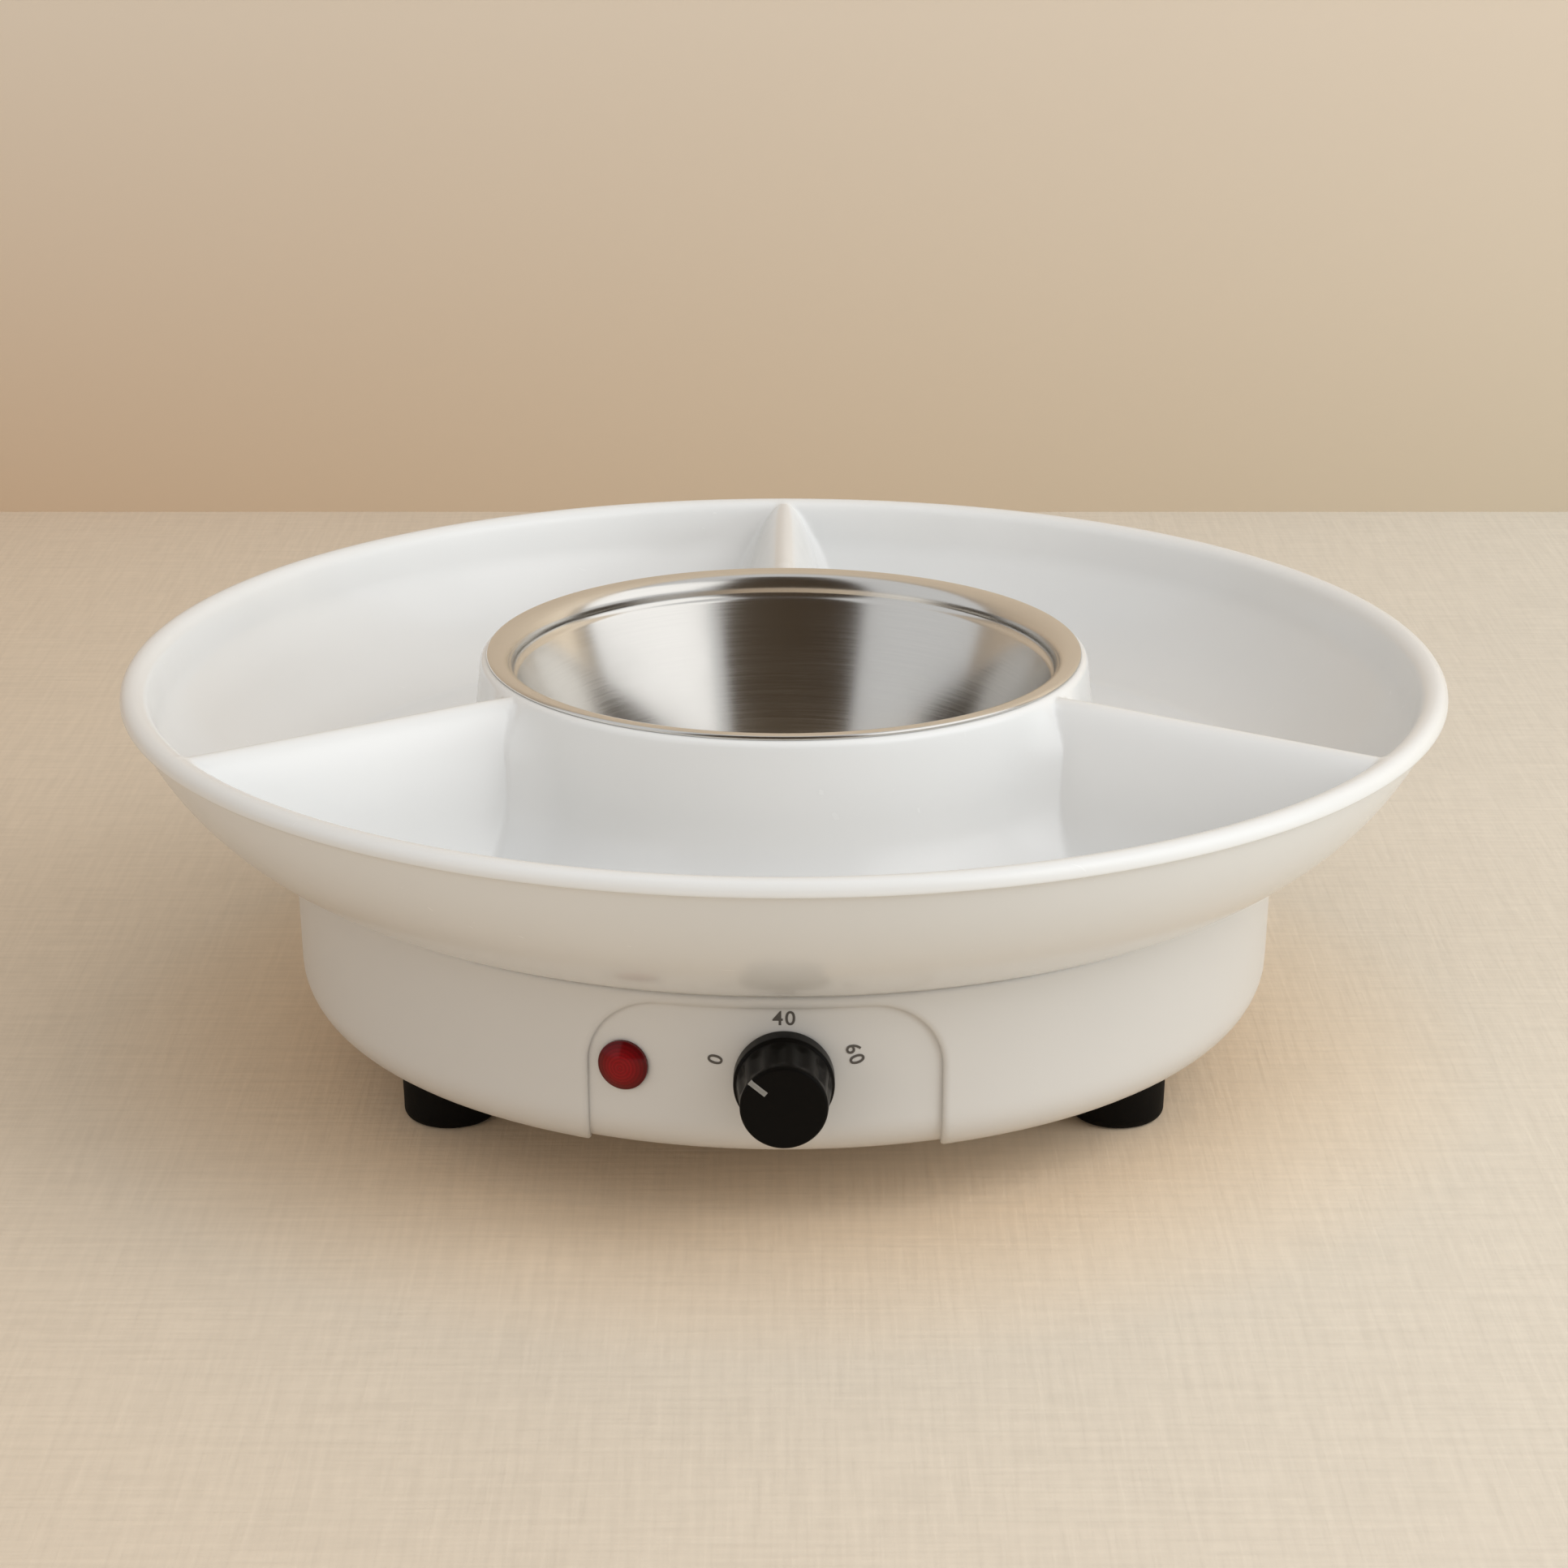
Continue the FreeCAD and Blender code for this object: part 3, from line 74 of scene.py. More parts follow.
def add_softbox(name, place, aim, width, height, power, colour, in_metal=True):
    data = bpy.data.lights.new(name, "AREA")
    data.shape = "RECTANGLE"
    data.size = width
    data.size_y = height
    data.energy = power
    data.color = colour
    light = bpy.data.objects.new(name, data)
    light.location = place
    direction = Vector(aim) - Vector(place)
    light.rotation_euler = direction.to_track_quat("-Z", "Y").to_euler()
    light.visible_glossy = in_metal
    scene.collection.objects.link(light)


def set_world(colour, strength):
    world = bpy.data.worlds.new("room")
    world.use_nodes = True
    background = world.node_tree.nodes["Background"]
    background.inputs["Color"].default_value = (*colour, 1.0)
    background.inputs["Strength"].default_value = strength
    scene.world = world


def flat_sheet(name, corners):
    mesh = bpy.data.meshes.new(name)
    mesh.from_pydata(corners, [], [(0, 1, 2, 3)])
    sheet = bpy.data.objects.new(name, mesh)
    scene.collection.objects.link(sheet)
    return sheet


def add_dark_cards():
    """Brown cards behind and above the camera, for the dark band that polished metal shows there."""
    material, tree, shader = begin_material("card_brown")
    shader.inputs["Base Color"].default_value = (0.06, 0.045, 0.03, 1.0)
    shader.inputs["Roughness"].default_value = 0.9
    low = flat_sheet("dark_card", [(-0.95, -1.25, 0.1), (0.72, -1.25, 0.1), (0.72, -1.25, 1.1), (-0.95, -1.25, 1.1)])
    high = flat_sheet("dark_card_high", [(-0.95, -1.25, 1.1), (0.72, -1.25, 1.1), (0.3, -0.3, 2.0), (-0.35, -0.3, 2.0)])
    high.visible_diffuse = False
    low.visible_diffuse = False
    for card in (low, high):
        card.visible_camera = False
        card.visible_shadow = False
        card.data.materials.append(material)


# Node helpers

def add_node(tree, kind, **settings):
    node = tree.nodes.new(kind)
    for setting, value in settings.items():
        setattr(node, setting, value)
    return node


def feed(tree, target, source):
    """Connects an output socket, or sets a plain value, on an input socket."""
    if isinstance(source, bpy.types.NodeSocket):
        tree.links.new(source, target)
    else:
        target.default_value = source


def math_node(tree, operation, first, second=None, third=None):
    node = add_node(tree, "ShaderNodeMath", operation=operation)
    for socket, source in zip(node.inputs, (first, second, third)):
        if source is not None:
            feed(tree, socket, source)
    return node.outputs[0]


def vector_node(tree, operation, first, second=None):
    node = add_node(tree, "ShaderNodeVectorMath", operation=operation)
    feed(tree, node.inputs[0], first)
    if second is not None:
        feed(tree, node.inputs[1], second)
    return node.outputs["Value" if operation in ("LENGTH", "DOT_PRODUCT") else "Vector"]


def noise_node(tree, vector, scale, detail=2.0, roughness=0.5):
    node = add_node(tree, "ShaderNodeTexNoise")
    feed(tree, node.inputs["Vector"], vector)
    feed(tree, node.inputs["Scale"], scale)
    node.inputs["Detail"].default_value = detail
    node.inputs["Roughness"].default_value = roughness
    return node.outputs["Fac"]


def map_range(tree, value, low, high, new_low, new_high):
    node = add_node(tree, "ShaderNodeMapRange")
    for socket, source in zip(node.inputs, (value, low, high, new_low, new_high)):
        feed(tree, socket, source)
    return node.outputs["Result"]


def blend_colour(tree, factor, first, second):
    node = add_node(tree, "ShaderNodeMix", data_type="RGBA")
    feed(tree, node.inputs["Factor"], factor)
    feed(tree, node.inputs[6], first)
    feed(tree, node.inputs[7], second)
    return node.outputs[2]


def object_vector(tree):
    return add_node(tree, "ShaderNodeTexCoord").outputs["Object"]


def new_group(name, inputs, outputs):
    tree = bpy.data.node_groups.new(name, "ShaderNodeTree")
    for label, (kind, value) in inputs.items():
        socket = tree.interface.new_socket(label, in_out="INPUT", socket_type="NodeSocket" + kind)
        socket.default_value = value
    for label, kind in outputs.items():
        tree.interface.new_socket(label, in_out="OUTPUT", socket_type="NodeSocket" + kind)
    return tree, tree.nodes.new("NodeGroupInput").outputs, tree.nodes.new("NodeGroupOutput").inputs


def place_group(tree, group, **values):
    node = add_node(tree, "ShaderNodeGroup", node_tree=group)
    for label, value in values.items():
        feed(tree, node.inputs[label.replace("_", " ").capitalize()], value)
    return node.outputs


# Surface effects that several materials share

def moulded_skin_group():
    """Injection-moulded plastic: faint drift of tone, uneven gloss and a fine texture."""
    tree, given, result = new_group(
        "moulded skin",
        {"Colour": ("Color", (0.8, 0.8, 0.8, 1.0)), "Roughness": ("Float", 0.3), "Grain": ("Float", 900.0),
         "Drift": ("Float", 0.03)},
        {"Colour": "Color", "Roughness": "Float", "Height": "Float"})
    vector = object_vector(tree)
    cloud = noise_node(tree, vector, 14.0, 3.0)
    haze = noise_node(tree, vector, 70.0, 4.0, 0.6)
    grain = noise_node(tree, vector, given["Grain"], 2.0)
    shade = map_range(tree, cloud, 0.3, 0.7, 1.0, math_node(tree, "SUBTRACT", 1.0, given["Drift"]))
    toned = vector_node(tree, "MULTIPLY", given["Colour"], shade)
    spread = math_node(tree, "MULTIPLY", math_node(tree, "SUBTRACT", haze, 0.5), 0.35)
    factor = math_node(tree, "ADD", 1.0, spread)
    feed(tree, result["Colour"], toned)
    feed(tree, result["Roughness"], math_node(tree, "MULTIPLY", given["Roughness"], factor))
    feed(tree, result["Height"], grain)
    return tree


def hairline_group():
    """Fine wiping marks in two directions, as a mask."""
    tree, given, result = new_group(
        "hairlines", {"Scale": ("Float", 60.0), "Amount": ("Float", 0.5)}, {"Mask": "Float"})
    vector = object_vector(tree)
    masks = []
    for turn in (0.5, 2.0):
        mapping = add_node(tree, "ShaderNodeMapping")
        feed(tree, mapping.inputs["Vector"], vector)
        mapping.inputs["Rotation"].default_value = (0.2, 0.1, turn)
        mapping.inputs["Scale"].default_value = (1.0, 38.0, 6.0)
        streak = noise_node(tree, mapping.outputs["Vector"], given["Scale"], 2.0)
        masks.append(map_range(tree, streak, 0.66, 0.74, 0.0, 1.0))
    both = math_node(tree, "MAXIMUM", *masks)
    feed(tree, result["Mask"], math_node(tree, "MULTIPLY", both, given["Amount"]))
    return tree


def edge_wear_group():
    """Where edges are handled and knocked: a mask from how much the surface turns, broken up by noise."""
    tree, given, result = new_group(
        "edge wear", {"Width": ("Float", 0.0008), "Amount": ("Float", 0.5)}, {"Mask": "Float"})
    bevel = add_node(tree, "ShaderNodeBevel", samples=4)
    feed(tree, bevel.inputs["Radius"], given["Width"])
    normal = add_node(tree, "ShaderNodeNewGeometry").outputs["Normal"]
    turn = math_node(tree, "SUBTRACT", 1.0, vector_node(tree, "DOT_PRODUCT", bevel.outputs["Normal"], normal))
    edge = map_range(tree, turn, 0.01, 0.25, 0.0, 1.0)
    broken = map_range(tree, noise_node(tree, object_vector(tree), 420.0, 4.0), 0.35, 0.65, 0.2, 1.0)
    worn = math_node(tree, "MULTIPLY", edge, broken)
    feed(tree, result["Mask"], math_node(tree, "MULTIPLY", worn, given["Amount"]))
    return tree


def spun_group():
    """Metal that turned while it was brushed: fine rings round the Z axis."""
    tree, given, result = new_group(
        "spun rings", {"Lines": ("Float", 2600.0), "Colour": ("Color", (0.6, 0.6, 0.6, 1.0)),
                       "Roughness": ("Float", 0.25)},
        {"Colour": "Color", "Roughness": "Float", "Height": "Float"})
    vector = object_vector(tree)
    flat = vector_node(tree, "MULTIPLY", vector, (1.0, 1.0, 0.0))
    parts = add_node(tree, "ShaderNodeSeparateXYZ")
    feed(tree, parts.inputs[0], vector)
    spot = add_node(tree, "ShaderNodeCombineXYZ")
    feed(tree, spot.inputs["X"], vector_node(tree, "LENGTH", flat))
    feed(tree, spot.inputs["Y"], parts.outputs["Z"])
    angle = math_node(tree, "ARCTAN2", parts.outputs["Y"], parts.outputs["X"])
    feed(tree, spot.inputs["Z"], math_node(tree, "MULTIPLY", angle, 0.0006))
    lines = noise_node(tree, spot.outputs[0], given["Lines"], 3.0, 0.65)
    smear = noise_node(tree, vector, 55.0, 3.0)
    shade = map_range(tree, lines, 0.3, 0.7, 0.97, 1.02)
    feed(tree, result["Colour"], vector_node(tree, "MULTIPLY", given["Colour"], shade))
    gloss = math_node(tree, "ADD", map_range(tree, lines, 0.3, 0.7, 0.85, 1.15),
                      map_range(tree, smear, 0.35, 0.65, -0.06, 0.12))
    feed(tree, result["Roughness"], math_node(tree, "MULTIPLY", given["Roughness"], gloss))
    feed(tree, result["Height"], lines)
    return tree


moulded_skin = moulded_skin_group()
hairlines = hairline_group()
edge_wear = edge_wear_group()
spun_rings = spun_group()


# Materials

def begin_material(name):
    material = bpy.data.materials.new(name)
    material.use_nodes = True
    tree = material.node_tree
    return material, tree, tree.nodes["Principled BSDF"]


def bump(tree, shader, height, depth, soften=0.0):
    """Fine relief; soften is the radius over which moulded edges look rounded."""
    node = add_node(tree, "ShaderNodeBump")
    if soften:
        bevel = add_node(tree, "ShaderNodeBevel", samples=8)
        bevel.inputs["Radius"].default_value = soften
        feed(tree, node.inputs["Normal"], bevel.outputs["Normal"])
    node.inputs["Strength"].default_value = 1.0
    node.inputs["Distance"].default_value = depth
    feed(tree, node.inputs["Height"], height)
    feed(tree, shader.inputs["Normal"], node.outputs["Normal"])


def plastic(name, colour, roughness, grain, depth, worn_colour, wear=0.4, coat=0.0, soften=0.0, shine=0.5):
    """Moulded plastic with wiping marks and lightly worn edges."""
    material, tree, shader = begin_material(name)
    skin = place_group(tree, moulded_skin, colour=(*colour, 1.0), roughness=roughness, grain=grain)
    marks = place_group(tree, hairlines, amount=0.2)["Mask"]
    worn = place_group(tree, edge_wear, amount=wear)["Mask"]
    feed(tree, shader.inputs["Base Color"], blend_colour(tree, worn, skin["Colour"], (*worn_colour, 1.0)))
    scuffed = math_node(tree, "ADD", skin["Roughness"], math_node(tree, "MULTIPLY", marks, 0.12))
    feed(tree, shader.inputs["Roughness"],
         math_node(tree, "ADD", scuffed, math_node(tree, "MULTIPLY", worn, 0.15)))
    shader.inputs["Coat Weight"].default_value = coat
    shader.inputs["Coat Roughness"].default_value = 0.12
    shader.inputs["Specular IOR Level"].default_value = shine
    bump(tree, shader, skin["Height"], depth, soften)
    return material


def spun_metal(name, colour, roughness, lines, depth, brushed=0.6):
    """Metal spun or pressed round the Z axis, with its brushing running round it."""
    material, tree, shader = begin_material(name)
    rings = place_group(tree, spun_rings, colour=(*colour, 1.0), roughness=roughness, lines=lines)
    marks = place_group(tree, hairlines, scale=90.0, amount=0.25)["Mask"]
    feed(tree, shader.inputs["Base Color"], rings["Colour"])
    shader.inputs["Metallic"].default_value = 1.0
    feed(tree, shader.inputs["Roughness"],
         math_node(tree, "ADD", rings["Roughness"], math_node(tree, "MULTIPLY", marks, 0.06)))
    shader.inputs["Anisotropic"].default_value = brushed
    tangent = add_node(tree, "ShaderNodeTangent", direction_type="RADIAL", axis="Z")
    feed(tree, shader.inputs["Tangent"], tangent.outputs[0])
    bump(tree, shader, rings["Height"], depth)
    return material


def bare_metal(name, colour, roughness, worn_colour):
    """Small pressed or turned metal parts: mottled plating, bright edges."""
    material, tree, shader = begin_material(name)
    skin = place_group(tree, moulded_skin, colour=(*colour, 1.0), roughness=roughness, grain=1800.0, drift=0.2)
    worn = place_group(tree, edge_wear, width=0.0004, amount=0.7)["Mask"]
    feed(tree, shader.inputs["Base Color"], blend_colour(tree, worn, skin["Colour"], (*worn_colour, 1.0)))
    shader.inputs["Metallic"].default_value = 1.0
    feed(tree, shader.inputs["Roughness"], skin["Roughness"])
    bump(tree, shader, skin["Height"], 0.00001)
    return material


def rubber(name, colour, roughness):
    material, tree, shader = begin_material(name)
    skin = place_group(tree, moulded_skin, colour=(*colour, 1.0), roughness=roughness, grain=2400.0, drift=0.25)
    worn = place_group(tree, edge_wear, amount=0.6)["Mask"]
    dusty = tuple(min(1.0, part * 2.2 + 0.02) for part in colour)
    feed(tree, shader.inputs["Base Color"], blend_colour(tree, worn, skin["Colour"], (*dusty, 1.0)))
    feed(tree, shader.inputs["Roughness"], skin["Roughness"])
    shader.inputs["Specular IOR Level"].default_value = 0.15
    bump(tree, shader, skin["Height"], 0.00004)
    return material


def axis_distance(tree, centre, azimuth):
    """Distance from an axis that lies level and points along an azimuth."""
    mapping = add_node(tree, "ShaderNodeMapping", vector_type="TEXTURE")
    feed(tree, mapping.inputs["Vector"], object_vector(tree))
    mapping.inputs["Location"].default_value = centre
    mapping.inputs["Rotation"].default_value = (0.0, 0.0, azimuth)
    across = vector_node(tree, "MULTIPLY", mapping.outputs["Vector"], (0.0, 1.0, 1.0))
    return vector_node(tree, "LENGTH", across)


def lens_material():
    """Red lens with faint moulded rings behind its skin; its colour holds painted light and shade: brighter over the
    unlit lamp, deeper at the rim.
    """
    material, tree, shader = begin_material("lens_red")
    centre = (panel_radius * math.cos(lens_azimuth), panel_radius * math.sin(lens_azimuth), lens_height)
    distance = axis_distance(tree, centre, lens_azimuth)
    share = math_node(tree, "DIVIDE", distance, lens_radius)
    depth = map_range(tree, share, 0.45, 1.0, 0.0, 1.0)
    # Painted light and shade: the red is brighter at the lens's centre, over the lamp, and darker towards its rim.
    colour = blend_colour(tree, depth, (0.22, 0.003, 0.005, 1.0), (0.085, 0.0015, 0.0025, 1.0))
    rings = math_node(tree, "SINE", math_node(tree, "MULTIPLY", share, 46.0))
    shade = map_range(tree, rings, -1.0, 1.0, 0.8, 1.1)
    feed(tree, shader.inputs["Base Color"], vector_node(tree, "MULTIPLY", colour, shade))
    skin = place_group(tree, moulded_skin, roughness=0.16)
    feed(tree, shader.inputs["Roughness"], skin["Roughness"])
    shader.inputs["Specular IOR Level"].default_value = 0.22
    bump(tree, shader, skin["Height"], 0.000004)
    return material


def glass_material():
    material, tree, shader = begin_material("lamp_glass")
    skin = place_group(tree, moulded_skin, colour=(0.95, 0.82, 0.7, 1.0), roughness=0.08)
    feed(tree, shader.inputs["Base Color"], skin["Colour"])
    feed(tree, shader.inputs["Roughness"], skin["Roughness"])
    shader.inputs["Transmission Weight"].default_value = 0.9
    return material


def table_material():
    """Pale woven cloth, very fine: two crossed sets of threads. Its colour holds painted shade, darker and warmer
    towards -X, and painted light, a warm brightening round the object's foot.
    """
    material, tree, shader = begin_material("table_cloth")
    vector = object_vector(tree)
    parts = add_node(tree, "ShaderNodeSeparateXYZ")
    feed(tree, parts.inputs[0], vector)
    threads = [noise_node(tree, vector_node(tree, "MULTIPLY", vector, stretch), 600.0, 2.0)
               for stretch in ((1.0, 0.05, 1.0), (0.05, 1.0, 1.0))]
    weave = math_node(tree, "ADD", *threads)
    slub = noise_node(tree, vector, 260.0, 3.0)
    cloud = noise_node(tree, vector, 5.0, 2.0)
    shade = math_node(tree, "ADD", map_range(tree, weave, 0.7, 1.3, 0.955, 1.045),
                      map_range(tree, slub, 0.3, 0.7, -0.015, 0.015))
    shade = math_node(tree, "ADD", shade, map_range(tree, cloud, 0.3, 0.7, -0.015, 0.015))
    # Painted shade: the cloth is darker and warmer towards -X and lighter towards +X, as the light falls from the
    # right.
    painted_light_and_shade_tone = blend_colour(tree, map_range(tree, parts.outputs["X"], -0.4, 0.4, 0.0, 1.0),
                        (0.60, 0.485, 0.36, 1.0), (0.675, 0.635, 0.555, 1.0))
    # Painted light: the cloth's colour is raised and warmed round the object's foot, lifting the shadow there.
    reach = vector_node(tree, "LENGTH", vector_node(tree, "MULTIPLY", vector, (1.0, 1.0, 0.0)))
    painted_warm_light = blend_colour(tree, map_range(tree, reach, 0.105, 0.165, 0.0, 1.0), (1.18, 1.07, 0.95, 1.0), (1.0, 1.0, 1.0, 1.0))
    painted_light_and_shade_tone = vector_node(tree, "MULTIPLY", painted_light_and_shade_tone, painted_warm_light)
    feed(tree, shader.inputs["Base Color"], vector_node(tree, "MULTIPLY", painted_light_and_shade_tone, shade))
    shader.inputs["Roughness"].default_value = 0.9
    shader.inputs["Specular IOR Level"].default_value = 0.2
    bump(tree, shader, math_node(tree, "ADD", weave, slub), 0.0001)
    return material


def wall_material():
    """Warm pale wall, seen from its front only. Its colour is painted shade: darker and warmer towards the lower left,
    lighter towards the right and the top.
    """
    material, tree, shader = begin_material("wall_paint")
    parts = add_node(tree, "ShaderNodeSeparateXYZ")
    feed(tree, parts.inputs[0], object_vector(tree))
    # Painted shade: darker and warmer to the left and low down, lighter to the right and high up, as the light falls
    # from the upper right.
    across = map_range(tree, parts.outputs["X"], -0.3, 0.3, 0.0, 1.0)
    painted_light_rise = map_range(tree, parts.outputs["Z"], 0.0, 0.18, 0.0, 1.0)
    painted_shade_across = blend_colour(tree, across, (0.525, 0.387, 0.262, 1.0), (0.545, 0.46, 0.342, 1.0))
    feed(tree, shader.inputs["Base Color"], blend_colour(tree, painted_light_rise, painted_shade_across, (0.625, 0.535, 0.43, 1.0)))
    shader.inputs["Roughness"].default_value = 0.85
    see_through = add_node(tree, "ShaderNodeBsdfTransparent")
    facing = add_node(tree, "ShaderNodeMixShader")
    feed(tree, facing.inputs["Fac"], add_node(tree, "ShaderNodeNewGeometry").outputs["Backfacing"])
    feed(tree, facing.inputs[1], shader.outputs["BSDF"])
    feed(tree, facing.inputs[2], see_through.outputs["BSDF"])
    feed(tree, tree.nodes["Material Output"].inputs["Surface"], facing.outputs["Shader"])
    return material


white = (0.695, 0.697, 0.687)
# base_white is the tray's white plastic made darker and warmer: painted shade for the base, which sits under the tray's
# overhang.
base_white = (0.595, 0.577, 0.548)
worn_white = (0.75, 0.75, 0.74)
black = (0.004, 0.0035, 0.003)
steel = (0.73, 0.71, 0.675)
bright_steel = (0.75, 0.74, 0.72)
slot_materials = {
    "tray_white": plastic("tray_white", white, 0.24, 1100.0, 0.000006, worn_white, coat=0.2, soften=0.0006),
    "base_white": plastic("base_white", base_white, 0.3, 1100.0, 0.000008, worn_white, soften=0.0022),
    "bowl_steel": spun_metal("bowl_steel", steel, 0.19, 2600.0, 0.0000003, 0.0),
    "knob_black": plastic("knob_black", black, 0.3, 2600.0, 0.00001, (0.008, 0.0075, 0.007), shine=0.06),
    "pointer_white": plastic("pointer_white", (0.2, 0.195, 0.18), 0.5, 2600.0, 0.00001, (0.5, 0.48, 0.45)),
    "lens_red": lens_material(),
    "foot_rubber": rubber("foot_rubber", (0.003, 0.0026, 0.002), 0.7),
    "dish_aluminium": spun_metal("dish_aluminium", (0.72, 0.72, 0.73), 0.34, 1500.0, 0.00001, 0.4),
    "silicone": rubber("silicone", (0.45, 0.09, 0.05), 0.5),
    "steel_screw": bare_metal("steel_screw", (0.55, 0.55, 0.54), 0.3, bright_steel),
    "element_steel": bare_metal("element_steel", (0.16, 0.14, 0.125), 0.45, (0.3, 0.27, 0.24)),
    "shield_steel": bare_metal("shield_steel", (0.6, 0.6, 0.6), 0.4, bright_steel),
    "spring_steel": bare_metal("spring_steel", (0.42, 0.42, 0.44), 0.28, bright_steel),
    "thermostat_body": plastic("thermostat_body", (0.03, 0.024, 0.02), 0.5, 1400.0, 0.00002, (0.08, 0.07, 0.06)),
    "fuse_case": bare_metal("fuse_case", (0.62, 0.62, 0.62), 0.25, bright_steel),
    "switch_body": plastic("switch_body", (0.045, 0.045, 0.05), 0.45, 1400.0, 0.00002, (0.1, 0.1, 0.1)),
    "brass_part": bare_metal("brass_part", (0.66, 0.46, 0.16), 0.25, (0.85, 0.66, 0.3)),
    "lamp_glass": glass_material(),
    "gland_black": plastic("gland_black", (0.018, 0.018, 0.017), 0.42, 1800.0, 0.00002, (0.07, 0.07, 0.07)),
    "nylon": plastic("nylon", (0.72, 0.7, 0.6), 0.45, 1400.0, 0.00001, (0.8, 0.79, 0.72)),
    "lead_brown": plastic("lead_brown", (0.12, 0.04, 0.015), 0.45, 2000.0, 0.00001, (0.2, 0.09, 0.05)),
    "lead_blue": plastic("lead_blue", (0.02, 0.08, 0.3), 0.45, 2000.0, 0.00001, (0.1, 0.17, 0.4)),
    "lead_green": plastic("lead_green", (0.02, 0.22, 0.04), 0.45, 2000.0, 0.00001, (0.1, 0.3, 0.12)),
    "lead_white": plastic("lead_white", (0.7, 0.7, 0.68), 0.45, 2000.0, 0.00001, (0.8, 0.8, 0.8)),
}


def dress_nodes():
    """Every piece of the frame gets the finish of its material slot."""
    for subpart in frame["record"]["subparts"]:
        mesh = nodes[subpart["node"]].data
        mesh.materials.clear()
        mesh.materials.append(slot_materials[subpart["material_slot"]])


# Dial numbers

def dial_number(text, azimuth, reach, size):
    """A printed number beside the knob, lying on the round panel and turned along the dial."""
    curve = bpy.data.curves.new("dial_" + text, "FONT")
    curve.body = text
    curve.size = size
    curve.align_x = "CENTER"
    curve.align_y = "CENTER"
    curve.resolution_u = 6
    curve.offset = size * 0.012
    curve.space_character = 1.15
    curve.extrude = 0.00002
    source = bpy.data.objects.new("source", curve)
    scene.collection.objects.link(source)
    bpy.context.view_layer.update()
    evaluated = source.evaluated_get(bpy.context.evaluated_depsgraph_get())
    mesh = bpy.data.meshes.new_from_object(evaluated)
    bpy.data.objects.remove(source)
    mesh.name = "dial_" + text
    angle = math.radians(azimuth)
    turn = Matrix.Rotation(angle - math.pi / 2, 4, "Z")
    mesh.transform(Matrix.Translation((reach * math.cos(angle), reach * math.sin(angle), 0.0)) @ turn)
    for vertex in mesh.vertices:
        across, rise, lift = vertex.co
        radius = panel_radius + wall_lean * rise + lift + 0.00004
        around = across / panel_radius
        vertex.co = (radius * math.sin(around), -radius * math.cos(around), control_height + rise)
    number = bpy.data.objects.new("dial_" + text, mesh)
    scene.collection.objects.link(number)
    mesh.materials.append(print_ink)
    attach(number, "base")


# Pieces that follow a rule: the tray and its dividers, the bowl, the fluted knob

def rounded_profile(corners, steps=6, reach=2.4):
    """Radius and height of a profile in millimetres, from (radius, height, rounding) corners."""
    points = []
    for index, (radius, height, rounding) in enumerate(corners):
        corner = Vector((radius, height))
        if not rounding or index in (0, len(corners) - 1):
            points.append(corner)
            continue
        before = (Vector(corners[index - 1][:2]) - corner).normalized()
        after = (Vector(corners[index + 1][:2]) - corner).normalized()
        half = before.angle(after) / 2
        centre = corner + (before + after).normalized() * (rounding / math.sin(half))
        start = corner + before * (rounding / math.tan(half)) - centre
        end = corner + after * (rounding / math.tan(half)) - centre
        turn = start.angle_signed(end)
        points += [centre + Matrix.Rotation(-turn * step / steps, 2) @ start for step in range(steps + 1)]
    spaced = [points[0]]
    for point in points[1:]:
        pieces = max(1, math.ceil((point - spaced[-1]).length / reach))
        start = spaced[-1]
        spaced += [start.lerp(point, piece / pieces) for piece in range(1, pieces + 1)]
    return spaced


def arc_corners(centre, radius, start, end, steps):
    """Corners along an arc of a profile; the angles are in degrees, 0 is outwards."""
    corners = []
    for step in range(steps + 1):
        angle = math.radians(start + (end - start) * step / steps)
        corners.append((centre[0] + radius * math.cos(angle), centre[1] + radius * math.sin(angle), 0.0))
    return corners


def turned_piece(name, profile, angles, marks=None):
    """A profile in millimetres turned round Z; its ends meet on the axis or in each other.

    marks are named values along the profile that a rule can read from the piece.
    """
    shell = bmesh.new()
    layers = {label: shell.verts.layers.float.new(label) for label in marks or {}}
    rings = []
    for place, (radius, height) in enumerate(profile):
        ring = []
        for angle in angles if radius > 0.001 else angles[:1]:
            vertex = shell.verts.new((radius * MM * math.cos(angle), radius * MM * math.sin(angle), height * MM))
            for label, layer in layers.items():
                vertex[layer] = float(marks[label][place])
            ring.append(vertex)
        rings.append(ring)
    for first, second in zip(rings, rings[1:]):
        for spot in range(len(angles)):
            corners = []
            for ring, step in ((first, spot), (first, spot + 1), (second, spot + 1), (second, spot)):
                corner = ring[step % len(ring)]
                if corner not in corners:
                    corners.append(corner)
            shell.faces.new(corners)
    bmesh.ops.remove_doubles(shell, verts=shell.verts, dist=0.000001)
    bmesh.ops.recalc_face_normals(shell, faces=shell.faces)
    for face in shell.faces:
        face.smooth = True
    mesh = bpy.data.meshes.new(name)
    shell.to_mesh(mesh)
    shell.free()
    mesh.set_sharp_from_angle(angle=math.radians(50))
    piece = bpy.data.objects.new(name, mesh)
    scene.collection.objects.link(piece)
    return piece


def even_angles(count):
    return [2 * math.pi * step / count for step in range(count)]


